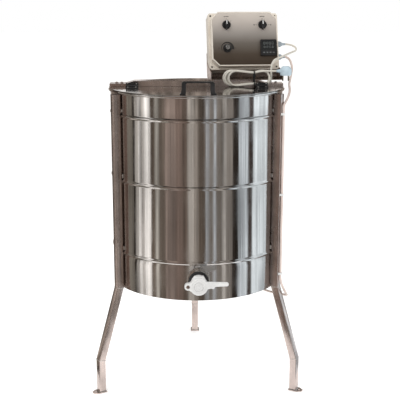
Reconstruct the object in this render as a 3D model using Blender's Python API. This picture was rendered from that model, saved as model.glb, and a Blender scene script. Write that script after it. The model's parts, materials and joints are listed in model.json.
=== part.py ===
"""Electric honey extractor: a polished steel drum on three legs, with a four-frame cage, a belt drive
under the floor, a hinged half lid, a honey gate and a control box. Metres, +Z up, front is -Y.
The drum's axis is the local x = y = 0; everything hangs from one empty that centres the footprint."""

import math

import bmesh
import bpy
from mathutils import Matrix, Vector

GAP = 0.0003                      # running and resting gap between touching pieces

# Drum
DRUM_R = 0.2985                   # outer radius of the wall
DRUM_T = 0.0012                   # sheet thickness
DRUM_BOTTOM_Z = 0.370
DRUM_TOP_Z = 1.0505               # top of the rolled rim
RIM_R = 0.3057                    # outer radius of the rolled rim
RIM_H = 0.0090
BEAD_Z = (0.498, 0.750, 0.970)    # rolled stiffening beads
BEAD_H = 0.0030
BEAD_HALF = 0.0080
DRUM_STEPS = 48
FLOOR_Z = 0.415                   # floor edge, and its raised middle
FLOOR_PEAK_Z = 0.472

# Legs
LEG_W = 0.025
LEG_T = 0.0015
LEG_R = DRUM_R + BEAD_H + GAP + LEG_W / 2
LEG_TOP_Z = DRUM_TOP_Z - RIM_H - GAP
LEG_BEND_Z = 0.372
KNEE_R = 0.391
KNEE_Z = 0.119
FOOT_T = 0.004
FOOT_NOSE_R = 0.424
LEG_ANGLES = {"left": -150.0, "right": -30.0, "rear": 90.0}

# Honey gate, on the drum's front
GATE_Z = 0.443
GATE_BORE_R = 0.019
SPIGOT_R = 0.0235
FERRULE_R = 0.036
FERRULE_FRONT = DRUM_R + 0.0185
GATE_PLATE_Y = DRUM_R + 0.0730    # front face of the gate's body, forward of the drum's axis
BLADE_T = 0.0080
BLADE_R = 0.0290
EAR_X = -0.0350
EAR_R = 0.0115

# Deck across the top, crossbar, lids
DECK_T = 0.0015
DECK_Z = DRUM_TOP_Z + GAP
DECK_TOP = DECK_Z + DECK_T
DECK_Y = (-0.0470, 0.0500)
BAR_Y = (-0.0125, 0.0450)
BAR_Z = (DECK_TOP + GAP, DECK_TOP + GAP + 0.0190)
BAR_T = 0.0020
BAR_END_X = 0.3015
BAR_RAISED_X = 0.2170
BAR_SLOPE_X = 0.2450
BAR_TAB_Z = DECK_TOP + 0.0100
LID_R = 0.3045
LID_LIP_R = 0.2900
LID_LIP_H = 0.0100
HINGE_Y = -0.0510
HINGE_Z = DECK_TOP + 0.0050
HINGE_X = (-0.2220, 0.2230)
HINGE_W = 0.0420
KNUCKLE_R = 0.0038
PIN_R = 0.0015

# Cage and drive
SHAFT_R = 0.0080
SCREEN_OUT = 0.2150
SCREEN_IN = 0.1550
SCREEN_HALF = 0.1700
SCREEN_Z = (0.5080, 0.9680)
ARM_R = 0.2860
ARM_W = 0.0240
ARM_T = 0.0060
BELT_Z = (0.3960, 0.4060)
BIG_PULLEY_R = 0.0800
SMALL_PULLEY_R = 0.0200
MOTOR_Y = 0.1650
MOTOR_R = 0.0550
BRIDGE_Z = (0.3740, 0.3780)

# Control box: its frame sits in the middle of the panel's front, leaning back and turned a little
BOX_CENTRE = Vector((0.1716, 0.0600, 1.2120))
BOX_LEAN = math.radians(18.0)
BOX_YAW = math.radians(5.0)
BOX_W = 0.2500
BOX_H = 0.2030
BOX_DEPTH = 0.0900
LID_FACE_W = 0.2350
LID_FACE_H = 0.1940
LID_DEPTH = 0.0350
LID_CHAMFER = 0.0245
PLATE_T = 0.0015
KNOB_X = 0.0640
KNOB_TOP_Z = 0.0495
KNOB_LOW_Z = -0.0337
METER_X = 0.0820
METER_SIZE = 0.0570
METER_DEPTH = 0.0080

# Leads
MAINS_D = 0.0070
HANK_X = (0.0900, 0.2620)
HANK_Y = (-0.0430, -0.0145)
HANK_Z = (DECK_TOP + 0.0021, DECK_TOP + 0.0581)
MOTOR_LEAD_D = 0.0080

FRONT_REACH = GATE_PLATE_Y + GAP + BLADE_T
AXIS_Y = (FRONT_REACH - FOOT_NOSE_R) / 2     # the drum's axis, so that the footprint is centred


def clear_scene():
    for old in list(bpy.data.objects):
        bpy.data.objects.remove(old)


def material(name, colour, roughness, metallic=0.0):
    made = bpy.data.materials.get(name) or bpy.data.materials.new(name)
    made.use_nodes = True
    shader = made.node_tree.nodes["Principled BSDF"]
    shader.inputs["Base Color"].default_value = (*colour, 1.0)
    shader.inputs["Roughness"].default_value = roughness
    shader.inputs["Metallic"].default_value = metallic
    return made


def steel():
    return material("polished_steel", (0.62, 0.60, 0.58), 0.12, 1.0)


def satin():
    return material("satin_steel", (0.52, 0.48, 0.46), 0.32, 1.0)


def dark_plastic():
    return material("black_plastic", (0.02, 0.02, 0.022), 0.45)


def white_plastic():
    return material("white_plastic", (0.86, 0.86, 0.85), 0.35)


def rubber():
    return material("rubber", (0.015, 0.015, 0.015), 0.8)


def box_plastic():
    return material("box_plastic", (0.72, 0.69, 0.63), 0.5)


def cord_plastic():
    return material("cord_plastic", (0.80, 0.80, 0.76), 0.45)


def painted():
    return material("motor_paint", (0.10, 0.11, 0.12), 0.5, 0.4)


def shape(name, mesh, look, origin=(0, 0, 0), parent=None):
    """A named object whose own origin is at `origin` in the parent's frame."""
    mesh.transform(Matrix.Translation(-Vector(origin)))
    piece = bpy.data.objects.new(name, mesh)
    bpy.context.scene.collection.objects.link(piece)
    piece.location = origin
    piece.parent = parent or bpy.data.objects["extractor"]
    mesh.materials.clear()
    mesh.materials.append(look)
    mesh.set_sharp_from_angle(angle=math.radians(35))
    return piece


def finish_mesh(name, bm):
    bmesh.ops.remove_doubles(bm, verts=bm.verts, dist=1e-6)
    bmesh.ops.recalc_face_normals(bm, faces=bm.faces)
    mesh = bpy.data.meshes.new(name)
    bm.to_mesh(mesh)
    bm.free()
    mesh.shade_smooth()
    return mesh


def prism(outline, low, high, axis="z", turn=None):
    """A flat outline extruded from low to high along an axis. The outline's two coordinates are the
    two other axes in X, Y, Z order."""
    bm = bmesh.new()
    orders = {"x": (2, 0, 1), "y": (0, 2, 1), "z": (0, 1, 2)}
    order = orders[axis]
    corners = []
    for a, b in outline:
        values = (a, b, low)
        corners.append(bm.verts.new([values[i] for i in order]))
    base = bm.faces.new(corners)
    made = bmesh.ops.extrude_face_region(bm, geom=[base])
    step = Vector([(0, 0, high - low)[i] for i in order])
    moved = [v for v in made["geom"] if isinstance(v, bmesh.types.BMVert)]
    bmesh.ops.translate(bm, verts=moved, vec=step)
    if turn is not None:
        bmesh.ops.transform(bm, matrix=turn, verts=bm.verts)
    return finish_mesh("prism", bm)


def block(low, high, turn=None):
    outline = [(low[0], low[1]), (high[0], low[1]), (high[0], high[1]), (low[0], high[1])]
    return prism(outline, low[2], high[2], "z", turn)


def turned(profile, steps, turn=None):
    """A closed (radius, height) profile spun round Z. Points at radius 0 close the middle."""
    bm = bmesh.new()
    verts = [bm.verts.new((r, 0, z)) for r, z in profile]
    edges = []
    for i, vert in enumerate(verts):
        following = verts[(i + 1) % len(verts)]
        on_axis = abs(vert.co.x) < 1e-9 and abs(following.co.x) < 1e-9
        if not on_axis:
            edges.append(bm.edges.new((vert, following)))
    bmesh.ops.spin(bm, geom=verts + edges, cent=(0, 0, 0), axis=(0, 0, 1), angle=math.tau,
                   steps=steps, use_merge=True)
    if turn is not None:
        bmesh.ops.transform(bm, matrix=turn, verts=bm.verts)
    return finish_mesh("turned", bm)


def rod(radius, low, high, steps=16, turn=None):
    return turned([(0, low), (radius, low), (radius, high), (0, high)], steps, turn)


def ring(inner, outer, low, high, steps=24, turn=None):
    return turned([(inner, low), (outer, low), (outer, high), (inner, high)], steps, turn)


def combine(base, others, operation):
    """Boolean result of a base mesh and other meshes, one after another."""
    scene = bpy.context.scene.collection.objects
    host = bpy.data.objects.new("host", base)
    scene.link(host)
    helpers = []
    for other in others:
        helper = bpy.data.objects.new("cutter", other)
        helper.hide_render = True
        helper.display_type = "WIRE"
        scene.link(helper)
        helpers.append(helper)
        modifier = host.modifiers.new("boolean", "BOOLEAN")
        modifier.operation = operation
        modifier.object = helper
    graph = bpy.context.evaluated_depsgraph_get()
    result = bpy.data.meshes.new_from_object(host.evaluated_get(graph))
    for helper in helpers + [host]:
        bpy.data.objects.remove(helper)
    result.shade_smooth()
    return result


def cut(base, cutters):
    return combine(base, cutters, "DIFFERENCE")


def union(base, others):
    return combine(base, others, "UNION")


def arc(centre, radius, start, end, count):
    """Points on an arc, angles in degrees."""
    points = []
    for i in range(count):
        angle = math.radians(start + (end - start) * i / (count - 1))
        points.append((centre[0] + radius * math.cos(angle), centre[1] + radius * math.sin(angle)))
    return points


def spin_z(degrees):
    return Matrix.Rotation(math.radians(degrees), 4, "Z")


def facing_front(x, z):
    """Turns a piece made round Z so that its +Z points forward (-Y), through (x, z)."""
    return Matrix.Translation((x, 0, z)) @ Matrix.Rotation(math.radians(90), 4, "X")


def smooth_route(points, spacing):
    """Points at an even spacing along a smooth curve through the route's own points."""
    fine = []
    for i in range(len(points) - 1):
        before = Vector(points[max(i - 1, 0)])
        start = Vector(points[i])
        end = Vector(points[i + 1])
        after = Vector(points[min(i + 2, len(points) - 1)])
        for k in range(12):
            t = k / 12
            fine.append(0.5 * ((2 * start) + (end - before) * t
                               + (2 * before - 5 * start + 4 * end - after) * t ** 2
                               + (3 * start - before - 3 * end + after) * t ** 3))
    fine.append(Vector(points[-1]))
    total = sum((b - a).length for a, b in zip(fine, fine[1:]))
    count = max(2, round(total / spacing))
    result = [fine[0]]
    walked = 0.0
    for a, b in zip(fine, fine[1:]):
        length = (b - a).length
        while len(result) < count and walked + length >= total * len(result) / count:
            share = (total * len(result) / count - walked) / length
            result.append(a.lerp(b, share))
        walked += length
    result.append(fine[-1])
    return result


def tube(name, points, diameter, look, parent=None):
    """A lead as a bevelled POLY curve with filled caps."""
    curve = bpy.data.curves.new(name, "CURVE")
    curve.dimensions = "3D"
    curve.bevel_depth = diameter / 2
    curve.bevel_resolution = 2
    curve.use_fill_caps = True
    line = curve.splines.new("POLY")
    line.points.add(len(points) - 1)
    for slot, point in zip(line.points, points):
        slot.co = (*point, 1.0)
    curve.materials.append(look)
    piece = bpy.data.objects.new(name, curve)
    bpy.context.scene.collection.objects.link(piece)
    piece.parent = parent or bpy.data.objects["extractor"]
    return piece


# ---------------------------------------------------------------- drum and stand

def drum_wall():
    """Sheet wall with three rolled beads and a rolled rim, one turned section."""
    outer = [(DRUM_R, DRUM_BOTTOM_Z)]
    for z in BEAD_Z:
        outer += [(DRUM_R, z - BEAD_HALF), (DRUM_R + BEAD_H, z - BEAD_HALF / 3)]
        outer += [(DRUM_R + BEAD_H, z + BEAD_HALF / 3), (DRUM_R, z + BEAD_HALF)]
    inner = [(r - DRUM_T, z) for r, z in outer]
    rim_low = DRUM_TOP_Z - RIM_H
    rim = [(DRUM_R, rim_low), (RIM_R - 0.0015, rim_low), (RIM_R, rim_low + 0.0020)]
    rim += [(RIM_R, DRUM_TOP_Z - 0.0025), (RIM_R - 0.0020, DRUM_TOP_Z), (DRUM_R - DRUM_T, DRUM_TOP_Z)]
    wall = turned(outer + rim + inner[::-1], DRUM_STEPS)
    hole = rod(SPIGOT_R + 0.0010, DRUM_R - 0.02, DRUM_R + 0.02, 24, facing_front(0, GATE_Z))
    shape("drum_wall", cut(wall, [hole]), steel())


def drum_floor():
    """Coned floor with a hub at the middle for the shaft."""
    edge = DRUM_R - DRUM_T - GAP
    hub = SHAFT_R + 0.0160
    seat = SHAFT_R + 0.0010
    profile = [(edge, FLOOR_Z), (edge, FLOOR_Z + 0.0030), (edge - 0.0015, FLOOR_Z + 0.0030)]
    profile += [(edge - 0.0015, FLOOR_Z + 0.0015), (hub, FLOOR_PEAK_Z), (hub, FLOOR_PEAK_Z + 0.0100)]
    profile += [(seat, FLOOR_PEAK_Z + 0.0100), (seat, FLOOR_PEAK_Z - 0.0100)]
    profile += [(hub, FLOOR_PEAK_Z - 0.0100), (hub + 0.0010, FLOOR_PEAK_Z - 0.0016)]
    shape("drum_floor", turned(profile, DRUM_STEPS), steel())


def leg_stations():
    """(radius, height, slant of the cut) down the leg's middle line."""
    slant = math.atan2(KNEE_R - LEG_R, LEG_BEND_Z - KNEE_Z)
    return [(LEG_R, LEG_TOP_Z, 0.0), (LEG_R, LEG_BEND_Z, slant / 2), (KNEE_R, KNEE_Z, slant / 2),
            (KNEE_R, FOOT_T + GAP, 0.0)]


def leg_tube():
    """Square tube with two mitred bends, in the plane y = 0, open at both ends."""
    bm = bmesh.new()
    rings = []
    for radius, height, tilt in leg_stations():
        for half in (LEG_W / 2, LEG_W / 2 - LEG_T):
            corners = []
            for side, out in ((-1, -1), (1, -1), (1, 1), (-1, 1)):
                reach = out * half
                corners.append(bm.verts.new((radius + reach, side * half, height + reach * math.tan(tilt))))
            rings.append(corners)
    outer = rings[0::2]
    inner = rings[1::2]
    for wall in (outer, inner):
        for upper, lower in zip(wall, wall[1:]):
            for i in range(4):
                j = (i + 1) % 4
                bm.faces.new((upper[i], upper[j], lower[j], lower[i]))
    for end in (0, -1):
        for i in range(4):
            j = (i + 1) % 4
            bm.faces.new((outer[end][i], outer[end][j], inner[end][j], inner[end][i]))
    return finish_mesh("leg", bm)


def leg_wing():
    """Small triangular web that ties the leg's top to the drum, on the side away from the front."""
    outline = [(0.0115, LEG_TOP_Z - 0.0010), (0.0360, LEG_TOP_Z - 0.0010), (0.0115, LEG_TOP_Z - 0.0420)]
    low = LEG_R - LEG_W / 2 + 0.0060
    return prism(outline, low, low + 0.0020, "x")


def leg_lugs():
    """Weld lugs between a leg and the wall, just above each bead."""
    lugs = []
    for z in BEAD_Z:
        low = (DRUM_R + GAP, -LEG_W / 2 - 0.0020, z + BEAD_HALF + 0.0010)
        high = (LEG_R - LEG_W / 2 + LEG_T / 2, LEG_W / 2 + 0.0020, z + BEAD_HALF + 0.0150)
        lugs.append(block(low, high))
    return lugs


def legs():
    for side, angle in LEG_ANGLES.items():
        wing = leg_wing()
        if side == "left":
            wing.transform(Matrix.Scale(-1, 4, (0, 1, 0)))
            wing.flip_normals()
        leg = union(leg_tube(), [wing] + leg_lugs())
        leg.transform(spin_z(angle))
        shape("leg_" + side, leg, satin())


def feet():
    """Flat foot plates with a pointed nose and a hole for a floor bolt."""
    back = KNEE_R - LEG_W / 2 - 0.0020
    outline = [(back, -0.0170), (KNEE_R + 0.0180, -0.0170), (FOOT_NOSE_R, -0.0060)]
    outline += [(FOOT_NOSE_R, 0.0060), (KNEE_R + 0.0180, 0.0170), (back, 0.0170)]
    for side, angle in LEG_ANGLES.items():
        plate = prism(outline, 0.0, FOOT_T, "z")
        hole = rod(0.0045, -0.01, 0.01, 12, Matrix.Translation((KNEE_R + 0.0220, 0, 0)))
        plate = cut(plate, [hole])
        plate.transform(spin_z(angle))
        shape("foot_" + side, plate, satin())


# ---------------------------------------------------------------- honey gate

def gate_ferrule():
    """Welded ring on the wall, shaped to the drum behind."""
    ferrule = ring(SPIGOT_R + GAP, FERRULE_R, DRUM_R - 0.0080, FERRULE_FRONT, 32, facing_front(0, GATE_Z))
    drum = rod(DRUM_R + GAP, GATE_Z - 0.1, GATE_Z + 0.1, DRUM_STEPS)
    shape("gate_ferrule", cut(ferrule, [drum]), steel())


def gate_gasket():
    low = FERRULE_FRONT + GAP
    shape("gate_gasket", ring(SPIGOT_R + GAP, FERRULE_R - 0.0020, low, low + 0.0040, 32,
                              facing_front(0, GATE_Z)), rubber())


def gate_body():
    """Threaded spigot, neck and front plate with its pivot ear."""
    shoulder = FERRULE_FRONT + 0.0040 + 2 * GAP
    back = GATE_PLATE_Y - 0.0110
    profile = [(GATE_BORE_R, DRUM_R - 0.0110), (SPIGOT_R, DRUM_R - 0.0110), (SPIGOT_R, shoulder)]
    profile += [(0.0320, shoulder), (0.0320, shoulder + 0.0080), (0.0260, shoulder + 0.0120)]
    profile += [(0.0260, back + 0.0010), (GATE_BORE_R, back + 0.0010)]
    neck = turned(profile, 32, facing_front(0, GATE_Z))
    outline = [(0.0150, 0.0340), (-0.0150, 0.0340), (-0.0270, 0.0140)]
    outline += arc((EAR_X, 0), EAR_R, 80, 280, 9)
    outline += arc((0, 0), 0.0300, 205, 360, 13)
    outline += [(0.0290, 0.0100)]
    plate = prism([(x, z + GATE_Z) for x, z in outline], -GATE_PLATE_Y, -back, "y")
    bore = rod(GATE_BORE_R, back - 0.0100, GATE_PLATE_Y + 0.0100, 32, facing_front(0, GATE_Z))
    screw = rod(0.0028, back - 0.0100, GATE_PLATE_Y + 0.0100, 12, facing_front(EAR_X, GATE_Z))
    plate = cut(plate, [bore, screw])
    shape("gate_body", union(plate, [neck]), white_plastic())


def gate_blade():
    """Closing disc with its lever, turning on the ear's screw."""
    back = GATE_PLATE_Y + GAP
    outline = arc((EAR_X, 0), EAR_R, 75, 285, 10)
    outline += arc((0, 0), BLADE_R, 215, 345, 12)
    outline += [(0.0400, -0.0055), (0.0470, -0.0070), (0.0520, 0.0005), (0.0880, 0.0020)]
    outline += arc((0.0890, 0.0085), 0.0070, -70, 70, 6)
    outline += [(0.0520, 0.0160), (0.0380, 0.0170)]
    outline += arc((0, 0), BLADE_R, 35, 140, 10)
    plate = prism([(x, z + GATE_Z) for x, z in outline], -back - BLADE_T + 0.0030, -back, "y")
    screw = rod(0.0028, back - 0.01, back + 0.02, 12, facing_front(EAR_X, GATE_Z))
    profile = [(0, back + 0.0040), (0.0220, back + 0.0040), (0.0220, back + BLADE_T - 0.0015)]
    profile += [(0.0200, back + BLADE_T - 0.0010), (0.0120, back + BLADE_T - 0.0015)]
    profile += [(0.0110, back + BLADE_T), (0, back + BLADE_T)]
    boss = turned(profile, 32, facing_front(0, GATE_Z))
    blade = union(cut(plate, [screw]), [boss])
    shape("gate_blade", blade, white_plastic(), (EAR_X, -back, GATE_Z))


def gate_pivot_screw():
    """Shoulder screw with a washer head in front and a nut behind."""
    head = GATE_PLATE_Y + GAP + BLADE_T - 0.0030 + GAP
    back = GATE_PLATE_Y - 0.0110 - GAP
    profile = [(0, back - 0.0030), (0.0055, back - 0.0030), (0.0055, back), (0.0025, back), (0.0025, head)]
    profile += [(0.0060, head), (0.0055, head + 0.0020), (0, head + 0.0026)]
    shape("gate_pivot_screw", turned(profile, 16, facing_front(EAR_X, GATE_Z)), satin())


# ---------------------------------------------------------------- top of the drum

def half_disc(radius, edge_y, front, count=25):
    """Outline of the part of a disc in front of, or behind, the line y = edge_y."""
    start = math.degrees(math.asin(edge_y / radius))
    if front:
        return arc((0, 0), radius, 180 - start, 360 + start, count)
    return arc((0, 0), radius, start, 180 - start, count)


def deck_plate():
    """Fixed strip across the drum between the two half covers."""
    corners = []
    for y in DECK_Y:
        corners.append(math.sqrt(LID_R ** 2 - y ** 2))
    outline = [(-corners[0], DECK_Y[0]), (corners[0], DECK_Y[0]), (LID_R, 0.0)]
    outline += [(corners[1], DECK_Y[1]), (-corners[1], DECK_Y[1]), (-LID_R, 0.0)]
    plate = prism(outline, DECK_Z, DECK_TOP, "z")
    shape("deck_plate", cut(plate, [rod(SHAFT_R + 0.0010, 1.0, 1.1)]), steel())


def crossbar():
    """Bent channel along X with chamfered ends running out into low tabs."""
    top = BAR_Z[1]
    upper = [(BAR_END_X, BAR_TAB_Z), (BAR_SLOPE_X, BAR_TAB_Z), (BAR_RAISED_X, top)]
    outline = [(-BAR_END_X, BAR_Z[0]), (BAR_END_X, BAR_Z[0])] + upper
    outline += [(-x, z) for x, z in upper[::-1]]
    bar = prism(outline, BAR_Y[0], BAR_Y[1], "y")
    hollow = [(BAR_END_X + 0.01, BAR_Z[0] - 0.01), (BAR_END_X + 0.01, BAR_TAB_Z - BAR_T)]
    hollow += [(BAR_SLOPE_X - 0.0008, BAR_TAB_Z - BAR_T), (BAR_RAISED_X - 0.0008, top - BAR_T)]
    hollow += [(-x, z) for x, z in hollow[::-1]]
    inside = prism(hollow, BAR_Y[0] + BAR_T, BAR_Y[1] - BAR_T, "y")
    middle = (BAR_Y[0] + BAR_Y[1]) / 2
    bolts = []
    for x in (-0.2780, -0.2600, 0.2600, 0.2780):
        bolts.append(dome_bolt((x, middle, BAR_TAB_Z), 0.0055))
    shape("crossbar", union(cut(bar, [inside]), bolts), satin())


def dome_bolt(place, radius, turn=None):
    """Domed head that sinks half a millimetre into what it clamps."""
    profile = [(0, -0.0005), (radius, -0.0005), (radius * 0.95, radius * 0.45)]
    profile += [(radius * 0.5, radius * 0.8), (0, radius * 0.85)]
    move = Matrix.Translation(place)
    return turned(profile, 10, move if turn is None else move @ turn)


def upper_bearing():
    """Flanged bearing block inside the crossbar's channel, holding the top of the shaft."""
    low = DECK_TOP + GAP
    base = block((-0.0300, -0.0095, low), (0.0300, 0.0095, low + 0.0040))
    tower = rod(0.0098, low + 0.0020, low + 0.0120, 20)
    block_mesh = union(base, [tower])
    shape("upper_bearing", cut(block_mesh, [rod(SHAFT_R + GAP, 1.0, 1.2)]), satin())


def rear_cover():
    """Fixed rear half cover with a lip inside the drum."""
    edge = DECK_Y[1] + 0.0010
    plate = prism(half_disc(LID_R, edge, False), DECK_Z, DECK_TOP, "z")
    shape("rear_cover", union(plate, [cover_lip(edge, False)]), steel())


def cover_lip(edge, front):
    outer = half_disc(LID_LIP_R, edge + (-0.012 if front else 0.012), front, 21)
    inner = half_disc(LID_LIP_R - 0.0015, edge + (-0.012 if front else 0.012), front, 21)
    return prism(outer + inner[::-1], DECK_Z - LID_LIP_H, DECK_Z + DECK_T / 2, "z")


def front_lid():
    """Hinged front half lid, a flat sheet with a stiffening lip that hangs inside the drum."""
    edge = HINGE_Y + 0.0010
    plate = prism(half_disc(LID_R, edge, True), DECK_Z, DECK_TOP, "z")
    lid = union(plate, [cover_lip(edge, True)])
    shape("front_lid", lid, steel(), (0, HINGE_Y, HINGE_Z))


def lid_handle():
    """Bow handle: a thin bar on two widened feet."""
    low = DECK_TOP + GAP
    outline = [(-0.0590, 0), (-0.0400, 0), (-0.0385, 0.0340), (-0.0340, 0.0375), (0.0340, 0.0375)]
    outline += [(0.0385, 0.0340), (0.0400, 0), (0.0590, 0), (0.0500, 0.0300), (0.0440, 0.0420)]
    outline += [(-0.0440, 0.0420), (-0.0500, 0.0300)]
    outline = [(x, z + low) for x, z in outline]
    shape("lid_handle", prism(outline, -0.2890, -0.2680, "y"), dark_plastic(), (0, HINGE_Y, HINGE_Z))


def knuckle(x_low, x_high):
    eye = [(y + HINGE_Y, z + HINGE_Z) for y, z in arc((0, 0), KNUCKLE_R, 0, 337.5, 16)]
    return prism(eye, x_low, x_high, "x")


def hinge_pin(x):
    axle = [(y + HINGE_Y, z + HINGE_Z) for y, z in arc((0, 0), PIN_R, 0, 330, 12)]
    return prism(axle, x - HINGE_W / 2 + 0.0020, x + HINGE_W / 2 - 0.0020, "x")


def pin_hole(x):
    hole = [(y + HINGE_Y, z + HINGE_Z) for y, z in arc((0, 0), PIN_R + GAP, 0, 330, 12)]
    return prism(hole, x - 0.05, x + 0.05, "x")


def hinges():
    """Black plastic butt hinges: an upright fixed leaf that holds the pin, and a flat leaf on the lid."""
    base = DECK_TOP + GAP
    third = HINGE_W / 6
    for side, x in zip(("left", "right"), HINGE_X):
        upright = [(DECK_Y[0] + 0.0006, base), (DECK_Y[0] + 0.0034, base), (DECK_Y[0] + 0.0034,
                                                                            base + 0.0160)]
        upright += [(DECK_Y[0] + 0.0006, base + 0.0160)]
        fixed = prism(upright, x - HINGE_W / 2, x + HINGE_W / 2, "x")
        arm = [(HINGE_Y, HINGE_Z), (HINGE_Y, HINGE_Z + KNUCKLE_R), (DECK_Y[0] + 0.0020, HINGE_Z + KNUCKLE_R)]
        arm += [(DECK_Y[0] + 0.0020, HINGE_Z)]
        pieces = []
        for low, high in ((x - HINGE_W / 2, x - third - GAP), (x + third + GAP, x + HINGE_W / 2)):
            pieces += [knuckle(low, high), prism(arm, low, high, "x")]
        slot = block((x - third - GAP, HINGE_Y - 0.01, base - 0.01), (x + third + GAP,
                                                                      DECK_Y[0] + 0.0012, 1.2))
        fixed = union(cut(union(fixed, pieces), [slot]), [hinge_pin(x)])
        shape("hinge_leaf_fixed_" + side, fixed, dark_plastic())
        front = HINGE_Y - 0.0230
        flat = [(front, base), (HINGE_Y - KNUCKLE_R - 0.0006, base), (HINGE_Y - KNUCKLE_R - 0.0006,
                                                                      base + 0.0026)]
        flat += [(front + 0.0010, base + 0.0026)]
        leaf = prism(flat, x - HINGE_W / 2, x + HINGE_W / 2, "x")
        arm = [(HINGE_Y - KNUCKLE_R - 0.0020, base), (HINGE_Y, base), (HINGE_Y, base + 0.0026)]
        arm += [(HINGE_Y - KNUCKLE_R - 0.0020, base + 0.0026)]
        link = prism(arm, x - third + GAP, x + third - GAP, "x")
        leaf = union(leaf, [link, knuckle(x - third + GAP, x + third - GAP)])
        leaf = cut(leaf, [pin_hole(x)])
        shape("hinge_leaf_lid_" + side, leaf, dark_plastic(), (0, HINGE_Y, HINGE_Z))


# ---------------------------------------------------------------- cage and drive

def cage_shaft():
    top = BAR_Z[1] - BAR_T - 0.0020
    profile = [(0, BRIDGE_Z[1] + 0.0040), (SHAFT_R, BRIDGE_Z[1] + 0.0040), (SHAFT_R, top - 0.0020)]
    profile += [(SHAFT_R - 0.0020, top), (0, top)]
    shape("cage_shaft", turned(profile, 16), satin())


def spider(name, z, ledge):
    """Four diagonal arms on a hub; the lower one also has a square ledge that carries the baskets."""
    parts = [ring(SHAFT_R + GAP, 0.0240, z - 0.0080, z + ARM_T, 20)]
    for angle in (45, 135, 225, 315):
        parts.append(block((0.0200, -ARM_W / 2, z), (ARM_R, ARM_W / 2, z + ARM_T), spin_z(angle)))
    if ledge:
        for angle in (0, 90, 180, 270):
            out = SCREEN_OUT + 0.0020
            parts.append(block((SCREEN_IN - 0.0060, -SCREEN_HALF - 0.0050, z + 0.0010),
                               (SCREEN_IN + 0.0060, SCREEN_HALF + 0.0050, z + ARM_T - 0.0010), spin_z(angle)))
            parts.append(block((out - 0.0140, -SCREEN_HALF - 0.0200, z + 0.0010),
                               (out, SCREEN_HALF + 0.0200, z + ARM_T - 0.0010), spin_z(angle)))
    mesh = union(parts[0], parts[1:])
    shape(name, mesh, steel())


def lattice(x, thickness, half_y, z_range, columns, rows, bar):
    """Flat grille in the plane X = x: a grid whose window cells are left out, then thickened."""
    ys = [-half_y]
    pitch = (2 * half_y - bar) / columns
    for i in range(columns):
        ys += [-half_y + i * pitch + bar, -half_y + (i + 1) * pitch]
    ys.append(half_y)
    rise = (z_range[1] - z_range[0] - bar) / rows
    zs = [z_range[0]]
    for i in range(rows):
        zs += [z_range[0] + i * rise + bar, z_range[0] + (i + 1) * rise]
    zs.append(z_range[1])
    bm = bmesh.new()
    grid = [[bm.verts.new((x, y, z)) for z in zs] for y in ys]
    for i in range(len(ys) - 1):
        for j in range(len(zs) - 1):
            if i % 2 == 1 and j % 2 == 1:
                continue
            bm.faces.new((grid[i][j], grid[i + 1][j], grid[i + 1][j + 1], grid[i][j + 1]))
    made = bmesh.ops.extrude_face_region(bm, geom=list(bm.faces))
    moved = [v for v in made["geom"] if isinstance(v, bmesh.types.BMVert)]
    bmesh.ops.translate(bm, verts=moved, vec=(thickness, 0, 0))
    return finish_mesh("lattice", bm)


def baskets():
    """Four open-topped baskets: an outer and an inner grille on a bottom rail and two end rails."""
    low = SCREEN_Z[0]
    for number, angle in enumerate((0, 90, 180, 270), start=1):
        outer = lattice(SCREEN_OUT - 0.0030, 0.0030, SCREEN_HALF, SCREEN_Z, 3, 4, 0.0060)
        half = SCREEN_IN - 0.0090
        inner = lattice(SCREEN_IN, 0.0030, half, SCREEN_Z, 3, 4, 0.0060)
        rails = []
        for y in (-half + 0.0010, -0.0050, half - 0.0110):
            rails.append(block((SCREEN_IN + 0.0010, y, low + 0.0005),
                               (SCREEN_OUT - 0.0010, y + 0.0100, low + 0.0055)))
        basket = union(outer, [inner] + rails)
        basket.transform(spin_z(angle))
        shape("basket_" + str(number), basket, steel())


def pulley(radius, bore, z_range, steps):
    """Flat-crowned pulley with two flanges."""
    low = z_range[0] - 0.0030
    high = z_range[1] + 0.0030
    flange = radius + 0.0040
    profile = [(bore, low), (flange, low), (flange, z_range[0] - GAP), (radius, z_range[0] - GAP)]
    profile += [(radius, z_range[1] + GAP), (flange, z_range[1] + GAP), (flange, high), (bore, high)]
    return turned(profile, steps)


def drive():
    shape("drive_pulley", pulley(BIG_PULLEY_R, SHAFT_R + GAP, BELT_Z, 40), painted())
    small = pulley(SMALL_PULLEY_R, 0.0060 + GAP, BELT_Z, 24)
    small.transform(Matrix.Translation((0, MOTOR_Y, 0)))
    shape("motor_pulley", small, painted(), (0, MOTOR_Y, 0))
    axle = rod(0.0060, BRIDGE_Z[0] + GAP, BELT_Z[1] + 0.0080, 12, Matrix.Translation((0, MOTOR_Y, 0)))
    shape("motor_shaft", axle, satin(), (0, MOTOR_Y, 0))


def belt_outline(extra):
    """Outline of the open belt round both pulleys, `extra` out from their running surfaces."""
    lean = math.degrees(math.asin((BIG_PULLEY_R - SMALL_PULLEY_R) / MOTOR_Y))
    around_big = arc((0, 0), BIG_PULLEY_R + extra, 180 - lean, 360 + lean, 25)
    around_small = arc((0, MOTOR_Y), SMALL_PULLEY_R + extra, lean, 180 - lean, 9)
    return around_big + around_small


def drive_belt():
    belt = prism(belt_outline(GAP + 0.0035), BELT_Z[0], BELT_Z[1], "z")
    inside = prism(belt_outline(GAP), BELT_Z[0] - 0.01, BELT_Z[1] + 0.01, "z")
    shape("drive_belt", cut(belt, [inside]), rubber())


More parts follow.
